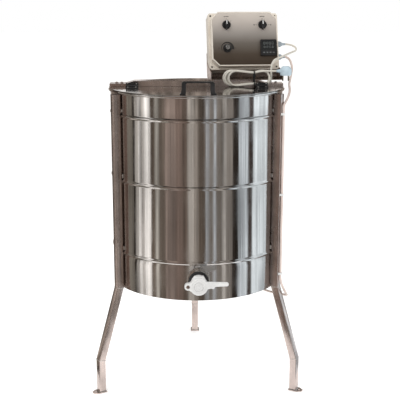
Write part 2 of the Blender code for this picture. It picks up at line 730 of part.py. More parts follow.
def drive_bridge():
    """Flat bar across the drum's skirt that carries the lower bearing and the motor."""
    reach = DRUM_R - DRUM_T - 0.0030
    outline = [(-0.0450, -reach), (0.0450, -reach), (0.0450, reach), (-0.0450, reach)]
    trimmed = []
    for x, y in outline:
        trimmed.append((x, math.copysign(math.sqrt(reach ** 2 - x ** 2), y)))
    plate = prism(trimmed, BRIDGE_Z[0], BRIDGE_Z[1], "z")
    hole = rod(0.0160, 0.3, 0.4, 16, Matrix.Translation((0, MOTOR_Y, 0)))
    shape("drive_bridge", cut(plate, [hole]), satin())


def lower_bearing():
    low = BRIDGE_Z[1] + GAP
    housing = rod(0.0300, low, low + 0.0120, 24)
    bore = rod(SHAFT_R + GAP, low + 0.0030, low + 0.0500, 16)
    shape("lower_bearing", cut(housing, [bore]), painted())


def motor_body():
    """Upright geared motor under the bridge, with a stepped end bell and a terminal box."""
    top = BRIDGE_Z[0] - GAP
    profile = [(0, top), (0.0140, top), (0.0140, top - 0.0040), (MOTOR_R, top - 0.0040), (MOTOR_R,
                                                                                          top - 0.0900)]
    profile += [(MOTOR_R - 0.0080, top - 0.1080), (0, top - 0.1080)]
    body = turned(profile, 32)
    terminal = block((MOTOR_R - 0.0120, -0.0220, top - 0.0620), (MOTOR_R + 0.0220, 0.0220, top - 0.0200))
    body = union(body, [terminal])
    body.transform(Matrix.Translation((0, MOTOR_Y, 0)))
    socket = rod(0.0068, top - 0.0200, top + 0.0200, 12, Matrix.Translation((0, MOTOR_Y, 0)))
    shape("motor_body", cut(body, [socket]), painted())


# ---------------------------------------------------------------- control box

def yawed():
    """The bracket's frame: turned with the box, standing on the crossbar."""
    turn = Matrix.Rotation(BOX_YAW, 4, "Z") @ Matrix.Translation((0, -BOX_CENTRE.y, 0))
    return Matrix.Translation((BOX_CENTRE.x, BOX_CENTRE.y, BAR_Z[1])) @ turn


def control_bracket():
    """Bent plate: a floor on the crossbar, a leaning back, two gussets and a bolted foot."""
    side = BOX_W / 2 + 0.0004
    floor = [(-0.0010, GAP), (0.1133, GAP), (0.1408, 0.0850), (0.1382, 0.0850), (0.1115, 0.0028),
             (-0.0010, 0.0028)]
    sheet = prism(floor, -side - 0.0012, side + 0.0012, "x", yawed())
    gusset = [(-0.0004, GAP + 0.0006), (0.1118, GAP + 0.0006), (0.1297, 0.0560), (0.0850, 0.0420),
              (-0.0004, 0.0260)]
    parts = []
    for low in (-side - 0.0020, side):
        parts.append(prism(gusset, low, low + 0.0020, "x", yawed()))
    face = BAR_Y[0] - GAP
    top = BAR_Z[1]
    foot = [(face - 0.0025, 1.0545), (face, 1.0545), (face, top + 0.0007), (-0.0020, top + 0.0007)]
    foot += [(-0.0020, top + 0.0023), (face - 0.0025, top + 0.0023)]
    parts.append(prism(foot, 0.0300, 0.0570, "x"))
    forward = Matrix.Rotation(math.radians(90), 4, "X")
    for x in (0.0360, 0.0510):
        parts.append(dome_bolt((x, face - 0.0025, 1.0625), 0.0040, forward))
    shape("control_bracket", union(sheet, parts), satin())


def octagon(width, height, chamfer):
    w = width / 2
    h = height / 2
    corners = [(w, h - chamfer), (w - chamfer, h), (-w + chamfer, h), (-w, h - chamfer)]
    return corners + [(-x, -z) for x, z in corners]


def control_box(box):
    """Base with screw corners, raised eight-sided lid, and a metal face plate."""
    seam = LID_DEPTH
    half = (BOX_W / 2, BOX_H / 2)
    back = prism(octagon(BOX_W, BOX_H, 0.0060), seam + GAP, BOX_DEPTH, "y")
    wells = []
    for sx in (-1, 1):
        for sz in (-1, 1):
            place = Matrix.Translation((sx * (half[0] - 0.0095), 0, sz * (half[1] - 0.0095)))
            turn = place @ Matrix.Rotation(math.radians(-90), 4, "X")
            wells.append(rod(0.0032, seam - 0.01, seam + 0.0060, 10, turn))
    shape("box_base", cut(back, wells), box_plastic(), (0, 0, 0), box)
    lid = prism(octagon(LID_FACE_W, LID_FACE_H, LID_CHAMFER), 0.0, seam, "y")
    recess = prism(octagon(LID_FACE_W - 0.0080, LID_FACE_H - 0.0080, LID_CHAMFER - 0.0020), -0.01,
                   PLATE_T + GAP, "y")
    shape("box_lid", cut(lid, [recess]), box_plastic(), (0, 0, 0), box)
    inset = 0.0080 + 2 * GAP
    plate = prism(octagon(LID_FACE_W - inset, LID_FACE_H - inset, LID_CHAMFER - 0.0020), 0.0, PLATE_T, "y")
    shape("panel_plate", plate, material("panel_metal", (0.45, 0.41, 0.36), 0.35, 0.9), (0, 0, 0), box)


def panel_turn(x, z):
    """Turns a piece made round Z so that its +Z points out of the panel, at (x, z) on the panel."""
    return Matrix.Translation((x, -GAP, z)) @ Matrix.Rotation(math.radians(90), 4, "X")


def selector_knob(name, x, z, box):
    """Round selector with a finger bar that ends in a point."""
    skirt = turned([(0, 0), (0.0150, 0), (0.0142, 0.0050), (0, 0.0050)], 24, panel_turn(x, z))
    grip = [(-0.0045, 0.0138), (0.0045, 0.0138), (0.0060, -0.0080), (0.0000, -0.0195), (-0.0060, -0.0080)]
    grip = prism([(gx + x, gz + z) for gx, gz in grip[::-1]], -GAP - 0.0160, -GAP - 0.0010, "y")
    shape(name, union(skirt, [grip]), dark_plastic(), (x, 0, z), box)


def speed_knob(box):
    profile = [(0, 0), (0.0150, 0), (0.0145, 0.0035), (0.0100, 0.0050), (0.0092, 0.0150), (0.0080, 0.0160)]
    profile += [(0, 0.0160)]
    knob = turned(profile, 24, panel_turn(-KNOB_X, KNOB_LOW_Z))
    shape("speed_knob", knob, dark_plastic(), (-KNOB_X, 0, KNOB_LOW_Z), box)


def meter(box):
    """Square display housing with a recessed screen and a row of four small keys."""
    half = METER_SIZE / 2
    outline = [(METER_X - half, KNOB_LOW_Z - half), (METER_X + half, KNOB_LOW_Z - half)]
    outline += [(METER_X + half, KNOB_LOW_Z + half), (METER_X - half, KNOB_LOW_Z + half)]
    housing = prism(outline, -GAP - METER_DEPTH, -GAP, "y")
    screen = block((METER_X - half + 0.0050, -0.02, KNOB_LOW_Z - 0.0080),
                   (METER_X + half - 0.0050, -GAP - METER_DEPTH + 0.0012, KNOB_LOW_Z + half - 0.0060))
    cutters = [screen]
    key_z = KNOB_LOW_Z - 0.0180
    for i in range(4):
        key_x = METER_X + (i - 1.5) * 0.0115
        cutters.append(block((key_x - 0.0040, -0.02, key_z - 0.0030), (key_x + 0.0040, -0.0040,
                                                                       key_z + 0.0030)))
    shape("display_housing", cut(housing, cutters), dark_plastic(), (0, 0, 0), box)
    for i in range(4):
        key_x = METER_X + (i - 1.5) * 0.0115
        front = -GAP - METER_DEPTH - 0.0010
        key = block((key_x - 0.0037, front, key_z - 0.0027), (key_x + 0.0037, -0.0053, key_z + 0.0027))
        shape("display_key_" + str(i + 1), key, rubber(), (key_x, front, key_z), box)


def gland_profile(length):
    return [(0, GAP), (0.0110, GAP), (0.0110, 0.0060), (0.0095, 0.0070), (0.0095, length * 0.55),
            (MAINS_D / 2 + 0.0008, length), (0, length)]


GLAND_LENGTH = 0.0200
MAINS_GLAND = Vector((BOX_W / 2, 0.0600, -0.0050))
MOTOR_GLAND = Vector((BOX_W / 2, 0.0660, -0.0500))


def glands(box):
    """Two cable glands on the box's right side."""
    side = Matrix.Rotation(math.radians(90), 4, "Y")
    for name, place in (("mains_gland", MAINS_GLAND), ("motor_gland", MOTOR_GLAND)):
        mesh = turned(gland_profile(GLAND_LENGTH), 16, Matrix.Translation(place) @ side)
        shape(name, mesh, material("gland_grey", (0.35, 0.38, 0.42), 0.5), place, box)


# ---------------------------------------------------------------- leads

def box_point(local):
    """A point of the control box's frame, in the extractor's frame."""
    turn = Matrix.Rotation(BOX_YAW, 4, "Z") @ Matrix.Rotation(-BOX_LEAN, 4, "X")
    return BOX_CENTRE + (turn @ Vector(local))


def box_direction(local):
    turn = Matrix.Rotation(BOX_YAW, 4, "Z") @ Matrix.Rotation(-BOX_LEAN, 4, "X")
    return turn @ Vector(local)


def bend(start, heading, toward, radius, degrees, count=7):
    """Points on an arc that leaves `start` along `heading` and turns towards `toward`."""
    heading = Vector(heading).normalized()
    toward = Vector(toward)
    toward = (toward - heading * toward.dot(heading)).normalized()
    points = []
    for i in range(count):
        angle = math.radians(degrees * i / (count - 1))
        points.append(start + heading * radius * math.sin(angle) + toward * radius * (1 - math.cos(angle)))
    return points


def mains_lead():
    """From the gland round to the right, forward past the box, and down to the hank's right edge."""
    out = box_direction((1, 0, 0))
    start = box_point(MAINS_GLAND + Vector((GLAND_LENGTH + 2 * GAP, 0, 0)))
    end = Vector((HANK_X[1] - MAINS_D / 2 - GAP, HANK_Y[1] - MAINS_D / 2, HANK_Z[1] + 2 * GAP))
    above = end + Vector((0, 0, 0.0010))
    route = bend(start + out * 0.0100, out, (0, -0.92, -0.384), 0.0290, 131, 5)
    route += [(0.3347, 0.0717, 1.1650), (0.3219, 0.0569, 1.1597), (0.3092, 0.0420, 1.1543)]
    route += [(0.2965, 0.0271, 1.1494), (0.2837, 0.0123, 1.1446)]
    route += bend(above, (0, 0, 1), (0.63, 0.735, 0), 0.0290, 75, 4)[::-1]
    tube("mains_lead", [start] + smooth_route(route, 0.0080) + [end], MAINS_D, cord_plastic())


def lead_hank():
    """Outer shape of the folded lead: round at the left and bottom right, square where both ends leave."""
    low, high = HANK_Z
    radius = (high - low) / 2
    middle = (low + high) / 2
    outline = arc((HANK_X[0] + radius, middle), radius, 90, 270, 13)
    outline += arc((HANK_X[1] - radius, middle), radius, 270, 360, 7)
    outline += [(HANK_X[1], high)]
    shape("lead_hank", prism(outline, HANK_Y[0], HANK_Y[1], "y"), cord_plastic())


def hank_tie():
    """Cable tie round the hank."""
    x = 0.1982
    wide = 0.0022
    low = (HANK_Y[0] - GAP, HANK_Z[0] - GAP)
    high = (HANK_Y[1] + GAP, HANK_Z[1] + GAP)
    thick = 0.0012
    outer = block((x - wide, low[0] - thick, low[1] - thick), (x + wide, high[0] + thick, high[1] + thick))
    inner = block((x - 0.01, low[0], low[1]), (x + 0.01, high[0], high[1]))
    shape("hank_tie", cut(outer, [inner]), dark_plastic())


PLUG_CENTRE = Vector((0.3060, HANK_Y[0] + MAINS_D / 2 + GAP, HANK_Z[1] - MAINS_D / 2))
PLUG_R = 0.0200
RELIEF = 0.0120


def plug_lead():
    """The last stretch, from the hank's right face to the plug's strain relief."""
    y = PLUG_CENTRE.y
    z = PLUG_CENTRE.z
    start = Vector((HANK_X[1] + GAP, y, z))
    end = Vector((PLUG_CENTRE.x - PLUG_R - RELIEF - GAP, y, z))
    tube("plug_lead", smooth_route([start, end], 0.0040), MAINS_D, cord_plastic())


def mains_plug():
    """Round side-entry plug, pins down, with a tapered strain relief and two pins."""
    y = PLUG_CENTRE.y
    z = PLUG_CENTRE.z
    profile = [(0, -0.0150), (PLUG_R - 0.0010, -0.0150), (PLUG_R, -0.0120), (PLUG_R, 0.0060)]
    profile += [(PLUG_R - 0.0060, 0.0150), (0, 0.0170)]
    body = turned(profile, 24, Matrix.Translation((PLUG_CENTRE.x, y, z)))
    boot = [(0, 0), (0.0042, 0), (0.0065, RELIEF), (0.0065, RELIEF + 0.0080), (0, RELIEF + 0.0080)]
    side = Matrix.Translation((PLUG_CENTRE.x - PLUG_R - RELIEF, y,
                               z)) @ Matrix.Rotation(math.radians(90), 4, "Y")
    pins = []
    for offset in (-0.0095, 0.0095):
        place = Matrix.Translation((PLUG_CENTRE.x + offset, y, z - 0.0150))
        pins.append(turned([(0, 0.0010), (0.0024, 0.0010), (0.0024, -0.0170), (0.0015, -0.0190), (0,
                                                                                                  -0.0190)],
                           10, place))
    shape("mains_plug", union(body, [turned(boot, 12, side)] + pins), cord_plastic())


def leg_point(out, along, z):
    """A point by the right leg: `out` from the drum's axis, `along` the drum's side to the rear."""
    angle = math.radians(LEG_ANGLES["right"])
    x = out * math.cos(angle) - along * math.sin(angle)
    y = out * math.sin(angle) + along * math.cos(angle)
    return Vector((x, y, z))


LEAD_OUT = LEG_R + LEG_W / 2 + 2 * GAP + MOTOR_LEAD_D / 2
CLIP_Z = (0.975, 0.700, 0.420)


def motor_lead():
    """From the box down the right leg's outer face, then in under the drum to the motor."""
    out = box_direction((1, 0, 0))
    start = box_point(MOTOR_GLAND + Vector((GLAND_LENGTH + 2 * GAP, 0, 0)))
    end = Vector((MOTOR_R + 0.0220 + 2 * GAP, MOTOR_Y, BRIDGE_Z[0] - 0.0410))
    route = [start + out * 0.0060, start + out * 0.0110, (0.3370, 0.1140, 1.1350)]
    route += [(0.3430, 0.0900, 1.1120), (0.3370, 0.0550, 1.0910), (0.3280, 0.0150, 1.0720)]
    route += [(0.3215, -0.0200, 1.0580), (0.3190, -0.0550, 1.0470), (0.3130, -0.0950, 1.0370)]
    route += [(0.3020, -0.1330, 1.0220), leg_point(LEAD_OUT + 0.0008, 0, 1.0050)]
    route += [leg_point(LEAD_OUT, 0, z) for z in (0.990, 0.975, 0.960, 0.85, 0.75, 0.65, 0.55, 0.45, 0.41)]
    route += [leg_point(LEAD_OUT + 0.0030, 0.0010, 0.3880), leg_point(LEAD_OUT + 0.0100, 0.0080, 0.3640)]
    route += [leg_point(LEAD_OUT + 0.0110, 0.0260, 0.3420)]
    route += [leg_point(LEAD_OUT - 0.0050, 0.0560, 0.3250), (0.2500, -0.0500, 0.3200), (0.2000, 0.0400,
                                                                                        0.3200)]
    route += [(0.1500, 0.1150, 0.3260), (0.1100, MOTOR_Y - 0.0040, end.z), end + Vector((0.0100, 0, 0))]
    tube("motor_lead", [start] + smooth_route(route, 0.0220) + [end], MOTOR_LEAD_D, cord_plastic())


def lead_clips():
    """Saddle clips that hold the motor lead to the leg's outer face."""
    face = LEG_R + LEG_W / 2 + GAP
    centre = (LEAD_OUT, 0.0)
    outer = MOTOR_LEAD_D / 2 + 0.0020
    inner = MOTOR_LEAD_D / 2 + 2 * GAP
    outline = [(face, -0.0115), (face + 0.0012, -0.0115), (face + 0.0012, -outer)]
    outline += arc(centre, outer, -90, 90, 9)
    outline += [(face + 0.0012, outer), (face + 0.0012, 0.0115), (face, 0.0115), (face, inner)]
    outline += arc(centre, inner, 90, -90, 9)
    outline += [(face, -inner)]
    for number, z in enumerate(CLIP_Z, start=1):
        clip = prism(outline, z - 0.0040, z + 0.0040, "z", spin_z(LEG_ANGLES["right"]))
        shape("lead_clip_" + str(number), clip, white_plastic())


def build():
    clear_scene()
    stand = bpy.data.objects.new("extractor", None)
    bpy.context.scene.collection.objects.link(stand)
    stand.location = (0, AXIS_Y, 0)
    box = bpy.data.objects.new("control", None)
    bpy.context.scene.collection.objects.link(box)
    box.parent = stand
    box.location = BOX_CENTRE
    box.rotation_euler = (-BOX_LEAN, 0, BOX_YAW)
    drum_wall()
    drum_floor()
    legs()
    feet()
    gate_ferrule()
    gate_gasket()
    gate_body()
    gate_blade()
    gate_pivot_screw()
    deck_plate()
    crossbar()
    upper_bearing()
    rear_cover()
    front_lid()
    lid_handle()
    hinges()
    cage_shaft()
    spider("cage_top", SCREEN_Z[1] + 0.0080 + GAP, False)
    spider("cage_bottom", SCREEN_Z[0] - ARM_T - GAP, True)
    baskets()
    drive()
    drive_belt()
    drive_bridge()
    lower_bearing()
    motor_body()
    control_bracket()
    control_box(box)
    selector_knob("selector_left", -KNOB_X, KNOB_TOP_Z, box)
    selector_knob("selector_right", KNOB_X, KNOB_TOP_Z, box)
    speed_knob(box)
    meter(box)
    glands(box)
    mains_lead()
    lead_hank()
    hank_tie()
    plug_lead()
    mains_plug()
    motor_lead()
    lead_clips()


build()
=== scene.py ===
"""Looks of the electric honey extractor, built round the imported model. Metres, +Z up, front is -Y.
Most pieces are made in the drum's own frame (axis at x = y = 0) and moved by HERE, or in the control
box's frame (x right, y into the box, z up the panel) and moved by BOX."""

import math

import bmesh
import bpy
from mathutils import Euler, Matrix, Vector, noise
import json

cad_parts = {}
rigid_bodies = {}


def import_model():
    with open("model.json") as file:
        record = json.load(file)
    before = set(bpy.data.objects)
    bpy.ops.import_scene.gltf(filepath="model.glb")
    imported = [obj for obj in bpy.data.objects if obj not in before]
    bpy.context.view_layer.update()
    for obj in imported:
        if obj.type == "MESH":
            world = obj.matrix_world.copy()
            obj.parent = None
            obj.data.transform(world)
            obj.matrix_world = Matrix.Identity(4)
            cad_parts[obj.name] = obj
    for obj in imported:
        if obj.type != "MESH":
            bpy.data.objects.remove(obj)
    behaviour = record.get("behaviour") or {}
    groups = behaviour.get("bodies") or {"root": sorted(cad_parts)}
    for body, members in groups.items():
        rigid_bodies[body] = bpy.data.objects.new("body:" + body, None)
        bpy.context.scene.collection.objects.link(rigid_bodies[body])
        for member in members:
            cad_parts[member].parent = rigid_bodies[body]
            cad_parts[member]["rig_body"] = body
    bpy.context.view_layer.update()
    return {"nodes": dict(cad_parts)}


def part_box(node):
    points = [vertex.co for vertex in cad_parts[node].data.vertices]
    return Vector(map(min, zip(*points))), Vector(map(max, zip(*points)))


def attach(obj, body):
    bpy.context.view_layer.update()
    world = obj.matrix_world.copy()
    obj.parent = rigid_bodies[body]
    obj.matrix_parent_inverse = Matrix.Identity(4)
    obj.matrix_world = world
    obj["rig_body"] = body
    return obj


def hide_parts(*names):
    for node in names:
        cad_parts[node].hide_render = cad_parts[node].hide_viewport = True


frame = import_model()

# ---------------------------------------------------------------- driving dimensions

GAP = 0.0003
WALL_LOW, WALL_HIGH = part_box("drum_wall")
AXIS = Vector(((WALL_LOW.x + WALL_HIGH.x) / 2, (WALL_LOW.y + WALL_HIGH.y) / 2, 0.0))
HERE = Matrix.Translation(AXIS)
RIM_R = (WALL_HIGH.x - WALL_LOW.x) / 2
DRUM_TOP = WALL_HIGH.z
DRUM_LOW = WALL_LOW.z
DRUM_R = 0.2985
DRUM_T = 0.0012
BEAD_Z = (0.498, 0.75, 0.97)
BEAD_H = 0.003
BEAD_HALF = 0.008
RIM_WIRE = 0.0045

LEG_W = 0.025
LEG_T = 0.0015
LEG_R = DRUM_R + BEAD_H + GAP + LEG_W / 2
LEG_TOP = DRUM_TOP - 0.0093
LEG_BEND_Z = 0.372
KNEE_R = 0.391
KNEE_Z = 0.119
FOOT_T = 0.004
LEG_ANGLES = {"left": -150.0, "right": -30.0, "rear": 90.0}

GATE_Z = 0.443
GATE_BORE_R = 0.019
SPIGOT_R = 0.0235
FERRULE_R = 0.036
FERRULE_FRONT = DRUM_R + 0.0185
GATE_FACE = DRUM_R + 0.073
BLADE_T = 0.008
EAR_X = -0.035
EAR_R = 0.0115
GATE_PLATE_T = 0.011
GATE_PLATE_R = 0.03
DISC_R = 0.029
NECK_FLANGE_R = 0.0243

DECK_LOW, DECK_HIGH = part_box("deck_plate")
DECK_TOP = DECK_HIGH.z
LID_R = 0.3045
HINGE_Y = -0.051
HINGE_X = (-0.222, 0.223)

BOX_W = 0.25
BOX_H = 0.203
BOX_DEPTH = 0.09
SEAM = 0.035
FACE_W = 0.235
FACE_H = 0.194
CHAMFER = 0.0245
PLATE_T = 0.0015
KNOB_X = 0.064
KNOB_TOP_Z = 0.0495
KNOB_LOW_Z = -0.0337
METER_X = 0.082
METER_SIZE = 0.057
METER_DEPTH = 0.008
KEY_PITCH = 0.0115
TICK_R = 0.0215
SCALE_R = 0.0205
BOX_CENTRE = Vector((0.1716, 0.06, 1.212))
BOX_TILT = Euler((math.radians(-18), 0, math.radians(5)))
BOX = Matrix.Translation(BOX_CENTRE + AXIS) @ BOX_TILT.to_matrix().to_4x4()

MAINS_D = 0.007
HANK_LOW, HANK_HIGH = (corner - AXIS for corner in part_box("lead_hank"))
MOTOR_LEAD_D = 0.008
MAINS_GLAND = Vector((BOX_W / 2, 0.06, -0.005))
MOTOR_GLAND = Vector((BOX_W / 2, 0.066, -0.05))
GLAND_LENGTH = 0.02
PLUG_R = 0.02
RELIEF = 0.012
TIE_X = 0.1982
PLUG_CENTRE = Vector((0.306, HANK_LOW.y + MAINS_D / 2 + GAP, HANK_HIGH.z - MAINS_D / 2))
LEAD_OUT = LEG_R + LEG_W / 2 + 2 * GAP + MOTOR_LEAD_D / 2


# ---------------------------------------------------------------- materials

class Look:
    """A Principled material with helpers for noise-driven colour, roughness and relief."""

    def __init__(self, name, colour, roughness, metallic=0.0):
        self.material = bpy.data.materials.new(name)
        self.material.use_nodes = True
        self.tree = self.material.node_tree
        self.shader = self.tree.nodes["Principled BSDF"]
        self.shader.inputs["Base Color"].default_value = (*colour, 1.0)
        self.shader.inputs["Roughness"].default_value = roughness
        self.shader.inputs["Metallic"].default_value = metallic
        self.normal = None

    def link(self, output, socket):
        self.tree.links.new(output, socket)

    def node(self, kind, **values):
        made = self.tree.nodes.new(kind)
        for key, value in values.items():
            if key in made.inputs:
                made.inputs[key].default_value = value
            else:
                setattr(made, key, value)
        return made

    def pattern(self, scale, detail=3.0, stretch=(1, 1, 1), rough=0.55):
        """Noise in the object's own space, stretched per axis. Returns its value output."""
        place = self.node("ShaderNodeTexCoord")
        mapping = self.node("ShaderNodeMapping")
        mapping.inputs["Scale"].default_value = stretch
        self.link(place.outputs["Object"], mapping.inputs["Vector"])
        made = self.node("ShaderNodeTexNoise", Scale=scale, Detail=detail, Roughness=rough)
        self.link(mapping.outputs["Vector"], made.inputs["Vector"])
        return made.outputs["Fac"]

    def ramp(self, value, stops):
        made = self.node("ShaderNodeValToRGB")
        elements = made.color_ramp.elements
        for index, (position, colour) in enumerate(stops):
            element = elements[index] if index < 2 else elements.new(position)
            element.position = position
            element.color = (*colour, 1.0)
        self.link(value, made.inputs["Fac"])
        return made.outputs["Color"]

    def vary_colour(self, value, dark, light, low=0.35, high=0.65):
        colour = self.ramp(value, [(low, dark), (high, light)])
        self.link(colour, self.shader.inputs["Base Color"])
        return self

    def vary_roughness(self, value, smooth, rough):
        made = self.node("ShaderNodeMapRange")
        made.inputs["From Min"].default_value = 0.35
        made.inputs["From Max"].default_value = 0.65
        made.inputs["To Min"].default_value = smooth
        made.inputs["To Max"].default_value = rough
        self.link(value, made.inputs["Value"])
        self.link(made.outputs["Result"], self.shader.inputs["Roughness"])
        return self

    def relief(self, value, strength, distance):
        """Adds a bump layer on top of any earlier one."""
        made = self.node("ShaderNodeBump", Strength=strength, Distance=distance)
        self.link(value, made.inputs["Height"])
        if self.normal is not None:
            self.link(self.normal, made.inputs["Normal"])
        self.normal = made.outputs["Normal"]
        self.link(self.normal, self.shader.inputs["Normal"])
        return self

    def coat(self, amount, roughness):
        self.shader.inputs["Coat Weight"].default_value = amount
        self.shader.inputs["Coat Roughness"].default_value = roughness
        return self


def polished(name, along, tint=(0.66, 0.63, 0.61)):
    """Mirror sheet: faint hairlines along one axis, slow dents, smudges."""
    look = Look(name, tint, 0.1, 1.0)
    hairline = [260.0, 260.0, 260.0]
    hairline[along] = 3.0
    drawn = [26.0, 26.0, 26.0]
    drawn[along] = 1.6
    look.vary_colour(look.pattern(6.0, 4.0), tuple(c * 0.94 for c in tint), tuple(c * 1.04 for c in tint))
    look.vary_roughness(look.pattern(9.0, 5.0), 0.055, 0.15)
    look.relief(look.pattern(1.0, 2.0, hairline), 0.1, 0.0002)
    look.relief(look.pattern(1.0, 2.0, drawn), 0.3, 0.0008)
    look.relief(look.pattern(3.5, 2.0, (1, 1, 0.35)), 0.35, 0.0016)
    return look


def satin(name, tint=(0.6, 0.51, 0.475)):
    """Ground tube and plate: brushed along Z, warmer and duller than the sheet."""
    look = Look(name, tint, 0.3, 1.0)
    look.vary_colour(look.pattern(14.0, 5.0), tuple(c * 0.8 for c in tint), tuple(c * 1.15 for c in tint))
    look.vary_roughness(look.pattern(30.0, 4.0, (1, 1, 0.2)), 0.17, 0.33)
    look.relief(look.pattern(1.0, 3.0, (500.0, 500.0, 25.0)), 0.25, 0.0002)
    return look


def plastic(name, dark, light, roughness, grain=900.0, depth=0.00012):
    """Moulded plastic: fine spark grain, slight colour and gloss variation."""
    look = Look(name, light, roughness)
    look.vary_colour(look.pattern(18.0, 4.0), dark, light)
    look.vary_roughness(look.pattern(40.0, 3.0), roughness - 0.07, roughness + 0.09)
    look.relief(look.pattern(grain, 2.0), 0.3, depth)
    return look


def panel_look():
    """Brushed face plate: lacquered metal whose colour carries a painted reflection that falls from pale
    beige at the top to dark brown below.
    """
    look = Look("panel_metal", (0.45, 0.41, 0.36), 0.34, 0.55)
    place = look.node("ShaderNodeTexCoord")
    split = look.node("ShaderNodeSeparateXYZ")
    look.link(place.outputs["Object"], split.inputs["Vector"])
    height = look.node("ShaderNodeMapRange")
    height.inputs["From Min"].default_value = BOX_CENTRE.z - 0.094
    height.inputs["From Max"].default_value = BOX_CENTRE.z + 0.094
    look.link(split.outputs["Z"], height.inputs["Value"])
    # Painted reflection: this ramp runs up the plate from dark brown to pale beige, standing in for the
    # surroundings mirrored in the metal.
    stops = [(0.0, (0.085, 0.06, 0.042)), (0.22, (0.125, 0.094, 0.07)), (0.42, (0.235, 0.205, 0.175)),
             (0.6, (0.5, 0.455, 0.415)), (0.8, (0.8, 0.72, 0.65)), (1.0, (0.97, 0.88, 0.79))]
    colour = look.ramp(height.outputs["Result"], stops)
    look.link(colour, look.shader.inputs["Base Color"])
    look.vary_roughness(look.pattern(24.0, 3.0), 0.28, 0.4)
    look.relief(look.pattern(1.0, 3.0, (20.0, 20.0, 700.0)), 0.2, 0.00015)
    look.coat(0.25, 0.12)
    return look


LOOKS = {
    "sheet": polished("polished_sheet", 2),
    "flat_sheet": polished("polished_flat", 0, (0.62, 0.585, 0.56)),
    "wire": polished("polished_wire", 2, (0.58, 0.56, 0.54)),
    "satin": satin("satin_steel"),
    "bright": satin("bright_fittings", (0.72, 0.7, 0.67)),
    "rubber": plastic("rubber_black", (0.012, 0.012, 0.013), (0.03, 0.03, 0.03), 0.62, 500.0),
    "gate": plastic("gate_nylon", (0.66, 0.66, 0.655), (0.77, 0.77, 0.76), 0.33),
    "black": plastic("black_abs", (0.01, 0.01, 0.011), (0.026, 0.025, 0.025), 0.36),
    "ink": plastic("ink", (0.012, 0.011, 0.01), (0.03, 0.026, 0.022), 0.6),
    "white_mark": plastic("white_mark", (0.82, 0.82, 0.8), (0.9, 0.9, 0.88), 0.5),
    "box": plastic("box_abs", (0.66, 0.6, 0.52), (0.76, 0.7, 0.615), 0.42, 700.0, 0.00018),
    "panel": panel_look(),
    "screen": Look("screen", (0.012, 0.014, 0.014), 0.1).coat(0.6, 0.05),
    "segment": plastic("segment", (0.1, 0.11, 0.11), (0.17, 0.18, 0.18), 0.45),
    "key": plastic("key_rubber", (0.045, 0.047, 0.05), (0.085, 0.088, 0.09), 0.55),
    "gland": plastic("gland_nylon", (0.3, 0.36, 0.41), (0.38, 0.44, 0.49), 0.42),
    "cord": plastic("cord_pvc", (0.56, 0.53, 0.47), (0.7, 0.67, 0.6), 0.4, 420.0, 0.0001),
    "pink_cord": plastic("motor_lead_pvc", (0.62, 0.51, 0.46), (0.74, 0.63, 0.58), 0.42, 420.0),
    "plug": plastic("plug_pvc", (0.42, 0.53, 0.6), (0.56, 0.68, 0.75), 0.34, 600.0),
    "paint": plastic("motor_paint", (0.03, 0.034, 0.04), (0.06, 0.066, 0.074), 0.38, 350.0, 0.0003),
    "brass": Look("pin_brass", (0.3, 0.26, 0.2), 0.28, 1.0),
}
LOOKS["screen"].vary_roughness(LOOKS["screen"].pattern(60.0, 3.0), 0.06, 0.16)
LOOKS["brass"].vary_roughness(LOOKS["brass"].pattern(160.0, 3.0), 0.2, 0.38)


# ---------------------------------------------------------------- mesh helpers

def to_mesh(bm, name="part"):
    mesh = bpy.data.meshes.new(name)
    bm.to_mesh(mesh)
    bm.free()
    return mesh


def finish_mesh(bm):
    bmesh.ops.remove_doubles(bm, verts=bm.verts, dist=1e-6)
    bmesh.ops.recalc_face_normals(bm, faces=bm.faces)
    mesh = to_mesh(bm)
    mesh.shade_smooth()
    return mesh


def placed(name, data):
    """A new object in the scene that holds the data given."""
    made = bpy.data.objects.new(name, data)
    bpy.context.scene.collection.objects.link(made)
    return made


def skin(bm, rings, closed=True):
    """Faces between neighbouring rings, or rows, of points."""
    for a, b in zip(rings, rings[1:]):
        for k in range(len(a) if closed else len(a) - 1):
            j = (k + 1) % len(a)
            bm.faces.new((a[k], a[j], b[j], b[k]))


def prism(outline, low, high, axis="z", turn=None):
    """A flat outline extruded from low to high. Its coordinates are the two other axes in X, Y, Z order."""
    bm = bmesh.new()
    order = {"x": (2, 0, 1), "y": (0, 2, 1), "z": (0, 1, 2)}[axis]
    corners = []
    for a, b in outline:
        values = (a, b, low)
        corners.append(bm.verts.new([values[i] for i in order]))
    base = bm.faces.new(corners)
    made = bmesh.ops.extrude_face_region(bm, geom=[base])
    step = Vector([(0, 0, high - low)[i] for i in order])
    bmesh.ops.translate(bm, verts=[v for v in made["geom"] if isinstance(v, bmesh.types.BMVert)], vec=step)
    if turn is not None:
        bmesh.ops.transform(bm, matrix=turn, verts=bm.verts)
    return finish_mesh(bm)


def block(low, high, turn=None):
    outline = [(low[0], low[1]), (high[0], low[1]), (high[0], high[1]), (low[0], high[1])]
    return prism(outline, low[2], high[2], "z", turn)


def turned(profile, steps=96, turn=None):
    """A closed (radius, height) profile spun round Z. Points at radius 0 close the middle."""
    bm = bmesh.new()
    verts = [bm.verts.new((r, 0, z)) for r, z in profile]
    edges = []
    for i, vert in enumerate(verts):
        following = verts[(i + 1) % len(verts)]
        if abs(vert.co.x) > 1e-9 or abs(following.co.x) > 1e-9:
            edges.append(bm.edges.new((vert, following)))
    bmesh.ops.spin(bm, geom=verts + edges, cent=(0, 0, 0), axis=(0, 0, 1), angle=math.tau, steps=steps,
                   use_merge=True)
    if turn is not None:
        bmesh.ops.transform(bm, matrix=turn, verts=bm.verts)
    return finish_mesh(bm)


def rod(radius, low, high, steps=48, turn=None):
    return turned([(0, low), (radius, low), (radius, high), (0, high)], steps, turn)


